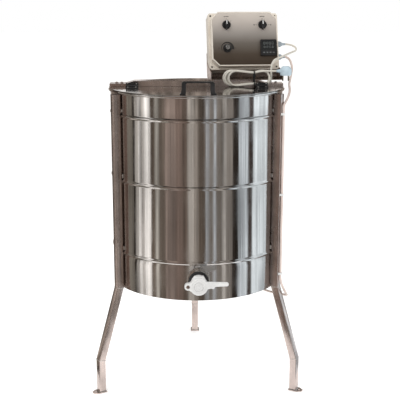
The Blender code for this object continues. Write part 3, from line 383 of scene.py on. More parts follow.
def joined(meshes):
    """Several closed meshes as one piece, each keeping its own surface."""
    bm = bmesh.new()
    for mesh in meshes:
        bm.from_mesh(mesh)
    result = to_mesh(bm, "joined")
    result.shade_smooth()
    return result


def combine(base, others, operation):
    """Boolean result of a base mesh and other meshes."""
    host = placed("host", base)
    helpers = []
    for other in others:
        helper = placed("cutter", other)
        helpers.append(helper)
        modifier = host.modifiers.new("boolean", "BOOLEAN")
        modifier.operation = operation
        modifier.object = helper
    graph = bpy.context.evaluated_depsgraph_get()
    result = bpy.data.meshes.new_from_object(host.evaluated_get(graph))
    for helper in helpers + [host]:
        bpy.data.objects.remove(helper)
    result.shade_smooth()
    return result


def cut(base, cutters):
    return combine(base, cutters, "DIFFERENCE")


def union(base, others):
    return combine(base, others, "UNION")


def arc(centre, radius, start, end, count):
    points = []
    for i in range(count):
        angle = math.radians(start + (end - start) * i / (count - 1))
        points.append((centre[0] + radius * math.cos(angle), centre[1] + radius * math.sin(angle)))
    return points


def hexagon(radius, x=0.0, z=0.0):
    corners = [math.radians(a) for a in range(0, 360, 60)]
    return [(x + radius * math.cos(a), z + radius * math.sin(a)) for a in corners]


def spin_z(degrees):
    return Matrix.Rotation(math.radians(degrees), 4, "Z")


def facing_front(x, z):
    """Turns a piece made round Z so that its +Z points forward (-Y), through (x, z)."""
    return Matrix.Translation((x, 0, z)) @ Matrix.Rotation(math.radians(90), 4, "X")


def facing(place, direction):
    """Turns a piece made round Z so that its +Z points along a direction, from a place."""
    return Matrix.Translation(place) @ Vector(direction).to_track_quat("Z", "Y").to_matrix().to_4x4()


def add(name, mesh, body, look, nodes=(), bevel=0.0, segments=3, sharp=35.0, place=HERE):
    """Puts a finished mesh in the scene as a piece of a body, standing for the CAD nodes named."""
    mesh.transform(place)
    mesh.materials.clear()
    mesh.materials.append(LOOKS[look].material)
    mesh.set_sharp_from_angle(angle=math.radians(sharp))
    piece = placed(name, mesh)
    if bevel > 0:
        modifier = piece.modifiers.new("bevel", "BEVEL")
        modifier.width = bevel
        modifier.segments = segments
        modifier.limit_method = "ANGLE"
        modifier.angle_limit = math.radians(sharp)
        modifier.harden_normals = True
    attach(piece, body)
    if nodes:
        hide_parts(*nodes)
    return piece


def refine(node, look, bevel=0.0006, segments=2):
    """The CAD node's own shape with merged flat faces and softened edges, as a new piece."""
    source = frame["nodes"][node]
    bm = bmesh.new()
    bm.from_mesh(source.data)
    bmesh.ops.remove_doubles(bm, verts=bm.verts, dist=2e-6)
    bmesh.ops.dissolve_limit(bm, angle_limit=math.radians(1.0), verts=bm.verts, edges=bm.edges)
    mesh = finish_mesh(bm)
    return add(node + "_fine", mesh, source["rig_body"], look, [node], bevel, segments, 32.0,
               Matrix.Identity(4))


def smooth_route(points, spacing):
    """Points at an even spacing along a smooth curve through the route's own points."""
    fine = []
    for i in range(len(points) - 1):
        before = Vector(points[max(i - 1, 0)])
        start = Vector(points[i])
        end = Vector(points[i + 1])
        after = Vector(points[min(i + 2, len(points) - 1)])
        for k in range(12):
            t = k / 12
            fine.append(0.5 * ((2 * start) + (end - before) * t
                               + (2 * before - 5 * start + 4 * end - after) * t ** 2
                               + (3 * start - before - 3 * end + after) * t ** 3))
    fine.append(Vector(points[-1]))
    total = sum((b - a).length for a, b in zip(fine, fine[1:]))
    count = max(2, round(total / spacing))
    result = [fine[0]]
    walked = 0.0
    for a, b in zip(fine, fine[1:]):
        length = (b - a).length
        while len(result) < count and walked + length >= total * len(result) / count:
            result.append(a.lerp(b, (total * len(result) / count - walked) / length))
        walked += length
    result.append(fine[-1])
    return result


def tube(name, points, diameter, look, nodes):
    """A lead as a round curve through points of the drum's frame."""
    curve = bpy.data.curves.new(name, "CURVE")
    curve.dimensions = "3D"
    curve.bevel_depth = diameter / 2
    curve.bevel_resolution = 6
    curve.use_fill_caps = True
    line = curve.splines.new("POLY")
    line.points.add(len(points) - 1)
    for slot, point in zip(line.points, points):
        slot.co = (*(Vector(point) + AXIS), 1.0)
    line.use_smooth = True
    curve.materials.append(LOOKS[look].material)
    piece = placed(name, curve)
    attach(piece, "frame")
    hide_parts(*nodes)
    return piece


# ---------------------------------------------------------------- camera, cords

def camera():
    data = bpy.data.cameras.new("camera")
    data.lens = 80.5
    data.sensor_width = 36.0
    made = placed("camera", data)
    made.location = Vector((-0.0612, -3.125, 1.363)) + AXIS
    made.rotation_euler = (math.radians(90) - 0.2258, 0.0, -0.0235)
    bpy.context.scene.camera = made


def box_point(local):
    return BOX @ Vector(local) - AXIS


def box_direction(local):
    return BOX.to_3x3() @ Vector(local)


def hank_points():
    """Four turns side by side, clockwise from the front, from the back right corner to the front layer.
    The first strand comes down at the right edge; the later turns end a cord's width further left."""
    turns = 4
    radius = (HANK_HIGH.z - HANK_LOW.z - MAINS_D) / 2
    middle = (HANK_HIGH.z + HANK_LOW.z) / 2
    back = HANK_HIGH.y - MAINS_D / 2
    pitch = (HANK_HIGH.y - HANK_LOW.y - MAINS_D - GAP) / (turns - 1)
    right = HANK_HIGH.x - MAINS_D / 2 - GAP - radius
    inset = MAINS_D + 0.0002
    left_shift = (0.0, 0.012, 0.0045, 0.0165)
    points = [Vector((right + radius, back, middle + rise)) for rise in (0.018, 0.009)]
    for turn in range(turns):
        layer = back - turn * pitch
        centre = right if turn == 0 else right - inset
        left = HANK_LOW.x + MAINS_D / 2 + radius + left_shift[turn]
        for angle in range(0, 91, 10):
            step = (angle + 60 if turn else 140) / 140
            ease = min(1.0, step)
            ease = ease * ease * (3 - 2 * ease)
            y = layer + (1 - ease) * pitch
            a = math.radians(angle)
            points.append(Vector((centre + radius * math.cos(a), y, middle - radius * math.sin(a))))
        for share in (0.12, 0.25, 0.38, 0.5, 0.62, 0.75, 0.88):
            points.append(Vector((centre + (left - centre) * share, layer, middle - radius)))
        for angle in range(0, 181, 12):
            a = math.radians(angle)
            points.append(Vector((left - radius * math.sin(a), layer, middle - radius * math.cos(a))))
        after = right - inset
        reach = HANK_HIGH.x if turn == turns - 1 else after
        for share in (0.12, 0.25, 0.38, 0.5, 0.62, 0.75, 0.88):
            points.append(Vector((left + (reach - left) * share, layer, middle + radius)))
        if turn < turns - 1:
            for angle in range(0, 90, 10):
                step = max(0.0, (angle - 30) / 140)
                ease = step * step * (3 - 2 * step)
                a = math.radians(angle)
                points.append(Vector((after + radius * math.sin(a), layer - ease * pitch,
                                      middle + radius * math.cos(a))))
    for point in points:
        away = (point.x - TIE_X) / (0.028 if point.x > TIE_X else 0.066)
        if abs(away) < 1:
            squeeze = 0.22 * (1 + math.cos(math.pi * away)) / 2
            point.z = middle + (point.z - middle) * (1 - squeeze)
    return points


def bend(start, heading, toward, radius, degrees, count=7):
    """Points on an arc that leaves `start` along `heading` and turns towards `toward`."""
    heading = Vector(heading).normalized()
    toward = Vector(toward)
    toward = (toward - heading * toward.dot(heading)).normalized()
    points = []
    for i in range(count):
        angle = math.radians(degrees * i / (count - 1))
        points.append(start + heading * radius * math.sin(angle) + toward * radius * (1 - math.cos(angle)))
    return points


def mains_route():
    """From the gland round to the right, down into the hank, round it, and out to the plug."""
    out = box_direction((1, 0, 0))
    start = box_point(MAINS_GLAND + Vector((GLAND_LENGTH + 2 * GAP, 0, 0)))
    end = Vector((HANK_HIGH.x - MAINS_D / 2 - GAP, HANK_HIGH.y - MAINS_D / 2, HANK_HIGH.z + 2 * GAP))
    above = end + Vector((0, 0, 0.001))
    turn = bend(start + out * 0.01, out, (0, -0.92, -0.384), 0.033, 131, 9)
    drop = bend(above, (0, 0, 1), (0.63, 0.735, 0), 0.033, 75)[::-1]
    straight = [turn[-1].lerp(drop[0], i / 10) for i in range(1, 10)]
    route = [start] + turn + straight + drop
    route += hank_points()
    stop = Vector((PLUG_CENTRE.x - PLUG_R - RELIEF - GAP, PLUG_CENTRE.y, PLUG_CENTRE.z))
    route += [stop.lerp(Vector((HANK_HIGH.x, stop.y, stop.z)), 0.5), stop]
    return smooth_route(route, 0.003)


def leg_point(out, along, z):
    angle = math.radians(LEG_ANGLES["right"])
    x = out * math.cos(angle) - along * math.sin(angle)
    y = out * math.sin(angle) + along * math.cos(angle)
    return Vector((x, y, z))


def motor_route():
    """From the box down the right leg's outer face, then in under the drum to the motor."""
    out = box_direction((1, 0, 0))
    start = box_point(MOTOR_GLAND + Vector((GLAND_LENGTH + 2 * GAP, 0, 0)))
    end = Vector((0.0776, 0.165, 0.333))
    route = [start, start + out * 0.006, start + out * 0.011, (0.337, 0.114, 1.135)]
    route += [(0.343, 0.09, 1.112), (0.337, 0.055, 1.091), (0.328, 0.015, 1.072)]
    route += [(0.3215, -0.02, 1.058), (0.319, -0.055, 1.047), (0.313, -0.095, 1.037)]
    route += [(0.302, -0.133, 1.022), leg_point(LEAD_OUT + 0.0008, 0, 1.005)]
    route += [leg_point(LEAD_OUT, 0, z) for z in (0.99, 0.975, 0.96, 0.85, 0.75, 0.65, 0.55, 0.45, 0.41)]
    route += [leg_point(LEAD_OUT + 0.003, 0.001, 0.388), leg_point(LEAD_OUT + 0.01, 0.008, 0.364)]
    route += [leg_point(LEAD_OUT + 0.011, 0.026, 0.342)]
    route += [leg_point(LEAD_OUT - 0.005, 0.056, 0.325), (0.25, -0.05, 0.32), (0.2, 0.04, 0.32)]
    route += [(0.15, 0.115, 0.326), (0.11, 0.161, end.z), end + Vector((0.01, 0, 0)), end]
    return smooth_route(route, 0.006)


def plug():
    """Round side-entry plug, pins down, with grip ribs and a ribbed strain relief."""
    body = [(0, -0.015), (PLUG_R - 0.0012, -0.015), (PLUG_R, -0.012), (PLUG_R, 0.005)]
    body += [(PLUG_R - 0.001, 0.0075), (PLUG_R - 0.006, 0.0145), (PLUG_R - 0.009, 0.0165), (0, 0.017)]
    meshes = [turned(body, 72, Matrix.Translation(PLUG_CENTRE))]
    relief = [(0, 0)]
    ribs = 5
    for i in range(ribs):
        low = i * RELIEF / ribs
        grow = 0.004 + 0.0022 * i / ribs
        relief += [(grow, low), (grow + 0.0006, low + 0.0003)]
        relief += [(grow + 0.0006, low + 0.0014), (grow - 0.0003, low + 0.0017)]
    relief += [(0.0065, RELIEF), (0.0075, RELIEF + 0.008), (0, RELIEF + 0.008)]
    side = Vector((PLUG_CENTRE.x - PLUG_R - RELIEF, PLUG_CENTRE.y, PLUG_CENTRE.z))
    meshes.append(turned(relief, 36, facing(side, (1, 0, 0))))
    for i in range(18):
        angle = 360 * i / 18
        if abs(angle - 180) > 30:
            meshes.append(block((PLUG_R - 0.0015, -0.0008, -0.01), (PLUG_R + 0.0004, 0.0008, 0.0035),
                                Matrix.Translation(PLUG_CENTRE) @ spin_z(angle)))
    made = add("plug_body", joined(meshes), "frame", "plug", ["mains_plug"], 0.0004, 2)
    pins = []
    for offset in (-0.0095, 0.0095):
        place = Matrix.Translation(PLUG_CENTRE + Vector((offset, 0, -0.015)))
        profile = [(0, 0.001), (0.0024, 0.001), (0.0024, -0.0172), (0.0018, -0.0187), (0, -0.019)]
        pins.append(turned(profile, 32, place))
    prongs = add("plug_pins", joined(pins), "frame", "brass")
    return [made, prongs]


def tie():
    """Cable tie drawn round the narrowed hank, with its square head and a cut tail on the front."""
    x = TIE_X
    wide = 0.0023
    middle = (HANK_HIGH.z + HANK_LOW.z) / 2
    reach = (HANK_HIGH.z - HANK_LOW.z - MAINS_D) / 2 * 0.78 + MAINS_D / 2 + 0.0004
    depth = (HANK_LOW.y - 0.0004, HANK_HIGH.y + 0.0004)
    corner = 0.0034

    sides = (depth[1] - corner, depth[0] + corner, depth[0] + corner, depth[1] - corner)
    heights = (reach - corner, reach - corner, corner - reach, corner - reach)

    def loop(extra):
        points = []
        for quarter, (y, rise) in enumerate(zip(sides, heights)):
            points += arc((y, middle + rise), corner + extra, 90 * quarter, 90 * quarter + 90, 8)
        return points

    band = cut(prism(loop(0.0012), x - wide, x + wide, "x"), [prism(loop(0.0), x - 0.01, x + 0.01, "x")])
    front = depth[0] - 0.0012
    head = block((x - 0.004, front - 0.0032, middle + 0.006), (x + 0.004, front + 0.0004, middle + 0.012))
    tail = block((x - 0.0019, front - 0.0026, middle + 0.012), (x + 0.0019, front - 0.0014, middle + 0.0175))
    return add("hank_tie_band", joined([band, head, tail]), "frame", "black", ["hank_tie"], 0.0004, 2)


def gland(name, place, node):
    """Nylon gland: fixed hex, grip nut with ribs, and a taper round the lead."""
    foot = prism(hexagon(0.0115), GAP, 0.0062, "z")
    nut = [(0, 0.005), (0.0104, 0.005), (0.0104, 0.0066), (0.0096, 0.0074), (0.0094, 0.012)]
    nut += [(0.0084, 0.0146), (0.006, 0.0182), (0.0047, GLAND_LENGTH), (0, GLAND_LENGTH)]
    meshes = [foot, turned(nut, 48)]
    for i in range(14):
        meshes.append(block((0.0088, -0.0006, 0.0076), (0.0102, 0.0006, 0.0128), spin_z(360 * i / 14)))
    mesh = joined(meshes)
    mesh.transform(Matrix.Translation(place) @ Matrix.Rotation(math.radians(90), 4, "Y"))
    return add(name, mesh, "frame", "gland", [node], 0.0003, 2, 30.0, BOX)


def relief_sleeve(name, gland_place):
    """Soft tapered sleeve that carries the lead out of its gland."""
    start = box_point(gland_place + Vector((GLAND_LENGTH - 0.001, 0, 0)))
    profile = [(0.0036, 0), (0.0046, 0), (0.0044, 0.0045), (0.0041, 0.009)]
    profile += [(0.0038, 0.0115), (0.0036, 0.0115)]
    return add(name, turned(profile, 32, facing(start, box_direction((1, 0, 0)))), "frame", "gland", (),
               0.0002, 2)


def cords():
    mains_gland = gland("mains_gland_nut", MAINS_GLAND, "mains_gland")
    gland("motor_gland_nut", MOTOR_GLAND, "motor_gland")
    sleeve = relief_sleeve("mains_sleeve", MAINS_GLAND)
    relief_sleeve("motor_sleeve", MOTOR_GLAND)
    route = mains_route()
    lead = tube("mains_cord", route, MAINS_D, "cord", ["mains_lead", "lead_hank", "plug_lead"])
    plug() + [tie(), mains_gland, sleeve]
    tube("motor_cord", motor_route(), MOTOR_LEAD_D, "pink_cord", ["motor_lead"])


# ---------------------------------------------------------------- drum and stand

def drum():
    """Rolled sheet wall with three swaged beads and a wired rim, cut for the gate's spigot."""
    outer = [(DRUM_R, DRUM_LOW)]
    rows = [DRUM_LOW + 0.012, DRUM_LOW + 0.024]
    rows += [GATE_Z + 0.008 * k for k in range(-4, 5)]
    for z in rows:
        outer.append((DRUM_R, z))
    for z in BEAD_Z:
        for k in range(-8, 9):
            lift = BEAD_H * (1 + math.cos(math.pi * k / 8)) / 2
            outer.append((DRUM_R + lift, z + BEAD_HALF * k / 8))
    inner = [(r - DRUM_T, z) for r, z in outer]
    curl = arc((RIM_R - RIM_WIRE, DRUM_TOP - RIM_WIRE), RIM_WIRE, 218, 500, 25)
    outer.append((DRUM_R, DRUM_TOP - 2 * RIM_WIRE - 0.0015))
    wall = turned(outer + curl + [(DRUM_R - DRUM_T, DRUM_TOP - 2 * RIM_WIRE)] + inner[::-1], 320)
    hole = rod(SPIGOT_R + 0.0006, DRUM_R - 0.02, DRUM_R + 0.02, 64, facing_front(0, GATE_Z))
    add("drum_shell", cut(wall, [hole]), "frame", "sheet", ["drum_wall"], sharp=50.0)
    steps = 150
    bm = bmesh.new()
    rings = []
    for i in range(steps + 1):
        z = DRUM_LOW + 0.001 + (DRUM_TOP - 0.012 - DRUM_LOW) * i / steps
        lift = 0.0
        for bead in BEAD_Z:
            if abs(z - bead) < BEAD_HALF:
                lift = BEAD_H * (1 + math.cos(math.pi * (z - bead) / BEAD_HALF)) / 2
        ripple = 0.00008 * math.sin(i * 2.1)
        row = []
        for k in range(5):
            across = -0.0022 + 0.0011 * k
            crown = 0.0004 * math.cos(math.pi * (k - 2) / 4)
            row.append(bm.verts.new((across, DRUM_R + lift + crown + ripple, z)))
        rings.append(row)
    skin(bm, rings, closed=False)
    mesh = finish_mesh(bm)
    mesh.transform(spin_z(35))
    add("drum_seam", mesh, "frame", "satin")


def drum_floor():
    edge = DRUM_R - DRUM_T - GAP
    low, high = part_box("drum_floor")
    peak = high.z - 0.01
    hub = 0.024
    seat = 0.009
    inner = edge - 0.0015
    profile = [(edge, low.z), (edge, low.z + 0.003), (inner, low.z + 0.003), (inner, low.z + 0.0015)]
    profile += [(hub, peak), (hub, peak + 0.01), (seat, peak + 0.01), (seat, peak - 0.01)]
    profile += [(hub, peak - 0.01), (hub + 0.001, peak - 0.0016)]
    add("floor_cone", turned(profile, 256), "frame", "sheet", ["drum_floor"], 0.0008, 3)


def leg_stations():
    slant = math.atan2(KNEE_R - LEG_R, LEG_BEND_Z - KNEE_Z)
    return [(LEG_R, LEG_TOP, 0.0), (LEG_R, LEG_BEND_Z, slant / 2), (KNEE_R, KNEE_Z, slant / 2),
            (KNEE_R, FOOT_T + GAP, 0.0)]


def rounded_square(half, radius, count=5):
    points = []
    for sx, sy, start in ((1, 1, 0), (-1, 1, 90), (-1, -1, 180), (1, -1, 270)):
        points += arc((sx * (half - radius), sy * (half - radius)), radius, start, start + 90, count)
    return points


def mitre_ring(station, half, radius):
    """The tube's square outline at a station, tilted to lie in the mitre there."""
    r, z, tilt = station
    return [Vector((r + a, b, z + a * math.tan(tilt))) for a, b in rounded_square(half, radius)]


def leg_tube():
    """Square tube with rounded corners and two mitres, open at the top."""
    bm = bmesh.new()
    walls = []
    for half, radius in ((LEG_W / 2, 0.0026), (LEG_W / 2 - LEG_T, 0.0014)):
        rings = []
        for station in leg_stations():
            rings.append([bm.verts.new(point) for point in mitre_ring(station, half, radius)])
        walls.append(rings)
        skin(bm, rings)
    for end in (0, -1):
        skin(bm, [walls[0][end], walls[1][end]])
    return finish_mesh(bm)


def weld(points, radius, seed):
    """A weld bead: a lumpy rope along points, with the ripple of its passes."""
    bm = bmesh.new()
    fine = smooth_route(points, radius * 0.5)
    rings = []
    for i, point in enumerate(fine):
        ahead = fine[min(i + 1, len(fine) - 1)] - fine[max(i - 1, 0)]
        turn = ahead.to_track_quat("Z", "Y")
        lumps = 0.12 * noise.noise(point * 400 + Vector((seed, 0, 0)))
        swell = radius * (1 + 0.14 * math.sin(i * 1.9 + seed) + lumps)
        if i in (0, len(fine) - 1):
            swell *= 0.4
        row = []
        for k in range(10):
            a = math.tau * k / 10
            row.append(bm.verts.new(point + turn @ Vector((swell * math.cos(a), swell * math.sin(a), 0))))
        rings.append(row)
    skin(bm, rings)
    bm.faces.new(rings[0][::-1])
    bm.faces.new(rings[-1])
    return finish_mesh(bm)


def mitre_weld(station, seed):
    ring = mitre_ring(station, LEG_W / 2 - 0.0002, 0.0026)
    return weld(ring + [ring[0], ring[1]], 0.0011, seed)


def legs():
    stations = leg_stations()
    for number, (side, angle) in enumerate(LEG_ANGLES.items()):
        mirror = -1 if side == "left" else 1
        tubes = leg_tube()
        outline = [(0.0115, LEG_TOP - 0.001), (0.036, LEG_TOP - 0.001), (0.0115, LEG_TOP - 0.042)]
        outline = [(mirror * a, b) for a, b in outline]
        low = LEG_R - LEG_W / 2 + 0.006
        parts = [tubes, prism(outline, low, low + 0.002, "x")]
        for z in BEAD_Z:
            parts.append(block((DRUM_R + GAP, -LEG_W / 2 - 0.002, z + BEAD_HALF + 0.001),
                               (LEG_R - LEG_W / 2 + LEG_T / 2, LEG_W / 2 + 0.002, z + BEAD_HALF + 0.015)))
        mesh = joined(parts)
        mesh.transform(spin_z(angle))
        add("leg_tube_" + side, mesh, "frame", "satin", ["leg_" + side], 0.0003, 2, 40.0)
        beads = []
        for index in (1, 2):
            beads.append(mitre_weld(stations[index], number + index))
        for z in BEAD_Z:
            for edge in (-1, 1):
                y = edge * (LEG_W / 2 + 0.0018)
                near = DRUM_R + 0.0012
                beads.append(weld([(near, y, z + BEAD_HALF + 0.0015), (near, y, z + BEAD_HALF + 0.008),
                                   (near, y, z + BEAD_HALF + 0.015)], 0.0022, z * 10 + edge))
        foot = FOOT_T + 0.0006
        ring = [Vector((KNEE_R + a, b, foot)) for a, b in rounded_square(LEG_W / 2 + 0.0003, 0.0028)]
        beads.append(weld(ring + [ring[0], ring[1]], 0.0013, number + 7))
        mesh = joined(beads)
        mesh.transform(spin_z(angle))
        add("leg_welds_" + side, mesh, "frame", "bright", sharp=80.0)
        refine("foot_" + side, "satin", 0.0006, 3)


# ---------------------------------------------------------------- honey gate

def gate():
    """White nylon gate: flanged neck, shaped plate with its ear, and the closing disc with a lever."""
    front = facing_front(0, GATE_Z)
    inside = SPIGOT_R + GAP
    lip = FERRULE_R - 0.0022
    ferrule = [(inside, DRUM_R - 0.008), (FERRULE_R, DRUM_R - 0.008), (FERRULE_R, FERRULE_FRONT - 0.006)]
    ferrule += [(lip, FERRULE_FRONT - 0.005), (lip, FERRULE_FRONT), (inside, FERRULE_FRONT)]
    ring = cut(turned(ferrule, 96, front), [rod(DRUM_R + 0.0001, GATE_Z - 0.1, GATE_Z + 0.1, 256)])
    add("gate_ring", ring, "frame", "bright", ["gate_ferrule"], 0.0005, 3)
    around = []
    reach = FERRULE_R + 0.0004
    for i in range(49):
        a = math.tau * i / 48
        x = reach * math.cos(a)
        around.append((x, -math.sqrt((DRUM_R + 0.0006) ** 2 - x * x), GATE_Z + reach * math.sin(a)))
    add("gate_weld", weld(around, 0.0013, 3), "frame", "bright", sharp=80.0)
    low = FERRULE_FRONT + GAP
    gasket = [(inside, low), (FERRULE_R - 0.003, low), (lip, low + 0.001)]
    gasket += [(lip, low + 0.003), (FERRULE_R - 0.003, low + 0.004), (inside, low + 0.004)]
    add("gate_washer", turned(gasket, 96, front), "frame", "rubber", ["gate_gasket"])
    shoulder = FERRULE_FRONT + 0.004 + 2 * GAP
    back = GATE_FACE - GATE_PLATE_T
    neck = [(GATE_BORE_R, DRUM_R - 0.011), (SPIGOT_R - 0.0006, DRUM_R - 0.011)]
    thread = DRUM_R - 0.01
    while thread < shoulder - 0.004:
        neck += [(SPIGOT_R - 0.0008, thread), (SPIGOT_R, thread + 0.0009)]
        thread += 0.0018
    neck += [(SPIGOT_R - 0.0008, shoulder - 0.001), (SPIGOT_R - 0.0008, shoulder), (NECK_FLANGE_R, shoulder)]
    neck += [(NECK_FLANGE_R, shoulder + 0.006), (0.0238, shoulder + 0.0075), (0.0228, shoulder + 0.0088)]
    neck += [(0.0225, back + 0.001), (GATE_BORE_R, back + 0.001)]
    outline = [(0.015, 0.034), (-0.015, 0.034), (-0.027, 0.014)]
    outline += arc((EAR_X, 0), EAR_R, 80, 280, 30)
    outline += arc((0, 0), GATE_PLATE_R, 205, 360, 60) + [(0.029, 0.01)]
    plate = prism([(x, z + GATE_Z) for x, z in outline], -GATE_FACE, -back, "y")
    bore = rod(GATE_BORE_R, back - 0.01, GATE_FACE + 0.01, 96, front)
    screw = rod(0.0028, back - 0.01, GATE_FACE + 0.01, 32, facing_front(EAR_X, GATE_Z))
    body = joined([cut(plate, [bore, screw]), turned(neck, 96, front)])
    add("gate_housing", body, "frame", "gate", ["gate_body"], 0.0006, 3, 40.0)
    gate_blade()
    head = GATE_FACE + GAP + BLADE_T - 0.003 + GAP
    rear = GATE_FACE - GATE_PLATE_T - GAP
    shaft = rod(0.0025, rear - 0.001, head + 0.001, 24, facing_front(EAR_X, GATE_Z))
    nut = hexagon(0.0058, EAR_X, GATE_Z)
    dome = [(0, head), (0.006, head), (0.0057, head + 0.0012), (0.004, head + 0.0022), (0, head + 0.0026)]
    cap = turned(dome, 48, facing_front(EAR_X, GATE_Z))
    slot = plaque(EAR_X, GATE_Z, 0.014, 0.0012, -head - 0.004, -head - 0.0012)
    meshes = [shaft, prism(nut, -rear, -rear + 0.003, "y"), cut(cap, [slot])]
    add("gate_screw", joined(meshes), "frame", "satin", ["gate_pivot_screw"], 0.0003, 2)


def gate_blade():
    back = GATE_FACE + GAP
    outline = arc((EAR_X, 0), EAR_R, 75, 285, 32)
    outline += arc((0, 0), DISC_R, 215, 345, 56)
    outline += [(0.04, -0.0055), (0.044, -0.0068), (0.047, -0.007), (0.0495, -0.005)]
    outline += [(0.052, 0.0005), (0.088, 0.002)]
    outline += arc((0.089, 0.0085), 0.007, -70, 70, 16)
    outline += [(0.052, 0.016), (0.038, 0.017)]
    outline += arc((0, 0), DISC_R, 35, 140, 48)
    plate = prism([(x, z + GATE_Z) for x, z in outline], -back - BLADE_T + 0.003, -back, "y")
    screw = rod(0.0028, back - 0.01, back + 0.02, 32, facing_front(EAR_X, GATE_Z))
    face = back + BLADE_T - 0.003
    steps = ((0.0265, 0.0006), (0.024, 0.0006), (0.0236, 0.0002), (0.0212, -0.0006), (0.0208, 0.002),
             (0.017, 0.0024), (0.016, -0.0002), (0.0124, -0.0002), (0.0118, 0.0028), (0.008, 0.003),
             (0.0074, 0.0018), (0.0046, 0.0018), (0.004, 0.003), (0, 0.003))
    profile = [(0, back + 0.004), (0.0265, back + 0.004)] + [(r, face + rise) for r, rise in steps]
    blade = union(cut(plate, [screw]), [turned(profile, 96, facing_front(0, GATE_Z))])
    rib = block((0.03, -face - 0.0014, GATE_Z + 0.0062), (0.09, -face + 0.0002, GATE_Z + 0.0108))
    add("gate_shutter", union(blade, [rib]), "blade", "gate", ["gate_blade"], 0.0006, 3, 40.0)


# ---------------------------------------------------------------- top of the drum

def half_disc(radius, edge_y, front, count=160):
    start = math.degrees(math.asin(edge_y / radius))
    if front:
        return arc((0, 0), radius, 180 - start, 360 + start, count)
    return arc((0, 0), radius, start, 180 - start, count)


def cover(name, node, edge, front, body):
    """Half cover: polished sheet with a rolled edge and the lip that hangs inside the drum."""
    low = DECK_LOW.z
    offset = -0.012 if front else 0.012
    plate = prism(half_disc(LID_R, edge, front), low, DECK_TOP, "z")
    lip = prism(half_disc(0.29, edge + offset, front) + half_disc(0.2885, edge + offset, front)[::-1],
                low - 0.01, low + 0.0004, "z")
    add(name, joined([plate, lip]), body, "flat_sheet", [node], 0.0005, 3)


def dome_screw(place, radius, turn):
    """Domed head with a cross recess, made round its own axis."""
    profile = [(0, -0.0004), (radius, -0.0004), (radius, radius * 0.14), (radius * 0.86, radius * 0.36)]
    profile += [(radius * 0.5, radius * 0.52), (0, radius * 0.58)]
    head = turned(profile, 32)
    arms = []
    for low, high in (((-radius * 0.55, -radius * 0.12), (radius * 0.55, radius * 0.12)),
                      ((-radius * 0.12, -radius * 0.55), (radius * 0.12, radius * 0.55))):
        arms.append(block((*low, radius * 0.25), (*high, radius)))
    head = cut(head, arms)
    head.transform(Matrix.Translation(place) @ turn)
    return head


def top():
    cover("front_cover_half", "front_lid", HINGE_Y + 0.001, True, "lid")
    cover("rear_cover_half", "rear_cover", DECK_HIGH.y - AXIS.y + 0.001, False, "frame")
    refine("deck_plate", "flat_sheet", 0.0004, 2)
    refine("crossbar", "satin", 0.0007, 3)
    refine("upper_bearing", "bright", 0.0006, 3)
    handle()
    screws = []
    for side in ("left", "right"):
        refine("hinge_leaf_fixed_" + side, "black", 0.0004, 2)
        refine("hinge_leaf_lid_" + side, "black", 0.0004, 2)
    for x in HINGE_X:
        for offset in (-0.0135, 0.0135):
            for y in (-0.011, -0.018):
                place = (x + offset, HINGE_Y + y, DECK_TOP + GAP + 0.0026)
                screws.append(dome_screw(place, 0.0026, Matrix.Identity(4)))
    add("hinge_screws_lid", joined(screws), "lid", "bright", sharp=40.0)
    screws = []
    for x in HINGE_X:
        for offset in (-0.015, 0.015):
            place = (x + offset, DECK_LOW.y - AXIS.y + 0.0006, DECK_TOP + 0.0126)
            screws.append(dome_screw(place, 0.0022, Matrix.Rotation(math.radians(90), 4, "X")))
    add("hinge_screws_fixed", joined(screws), "frame", "bright", sharp=40.0)


def handle():
    """Bow handle on two flared feet, each held by a screw."""
    low = DECK_TOP + GAP
    half = []
    inner = []
    for t in range(13):
        a = math.radians(90 * t / 12)
        half.append((0.044 + 0.007 * math.cos(a) + 0.0012 * (1 - t / 12), 0.035 + 0.007 * math.sin(a)))
        inner.append((0.034 + 0.0045 * math.cos(a), 0.033 + 0.0045 * math.sin(a)))
    right = [(0.059, 0.0), (0.059, 0.0022), (0.0545, 0.006), (0.0525, 0.018)] + half
    inside = [(0.034 + 0.0045, 0.03)] + inner
    outline = right + [(-x, z) for x, z in right[::-1]]
    outline += [(-0.04, 0.0), (-0.039, 0.01)] + [(-x, z) for x, z in inside]
    outline += inside[::-1] + [(0.039, 0.01), (0.04, 0.0)]
    bow = prism([(x, z + low) for x, z in outline], -0.2885, -0.2685, "y")
    add("handle_bow", bow, "lid", "black", ["lid_handle"], 0.0018, 4, 40.0)
    screws = []
    for x in (-0.0556, 0.0556):
        screws.append(dome_screw((x, -0.2785, low + 0.003), 0.0026, Matrix.Identity(4)))
    add("handle_screws", joined(screws), "lid", "bright", sharp=40.0)


# ---------------------------------------------------------------- cage and drive

def machinery():
    refine("cage_shaft", "bright", 0.0004, 2)
    for node in ("cage_top", "cage_bottom"):
        refine(node, "wire", 0.0006, 2)
    for number in range(1, 5):
        refine("basket_" + str(number), "wire", 0.0005, 2)
    for node in ("drive_pulley", "motor_pulley", "lower_bearing"):
        refine(node, "paint", 0.0005, 2)
    refine("drive_belt", "rubber", 0.0005, 2)
    refine("drive_bridge", "satin", 0.0006, 2)
    refine("motor_shaft", "bright", 0.0003, 2)
    motor()


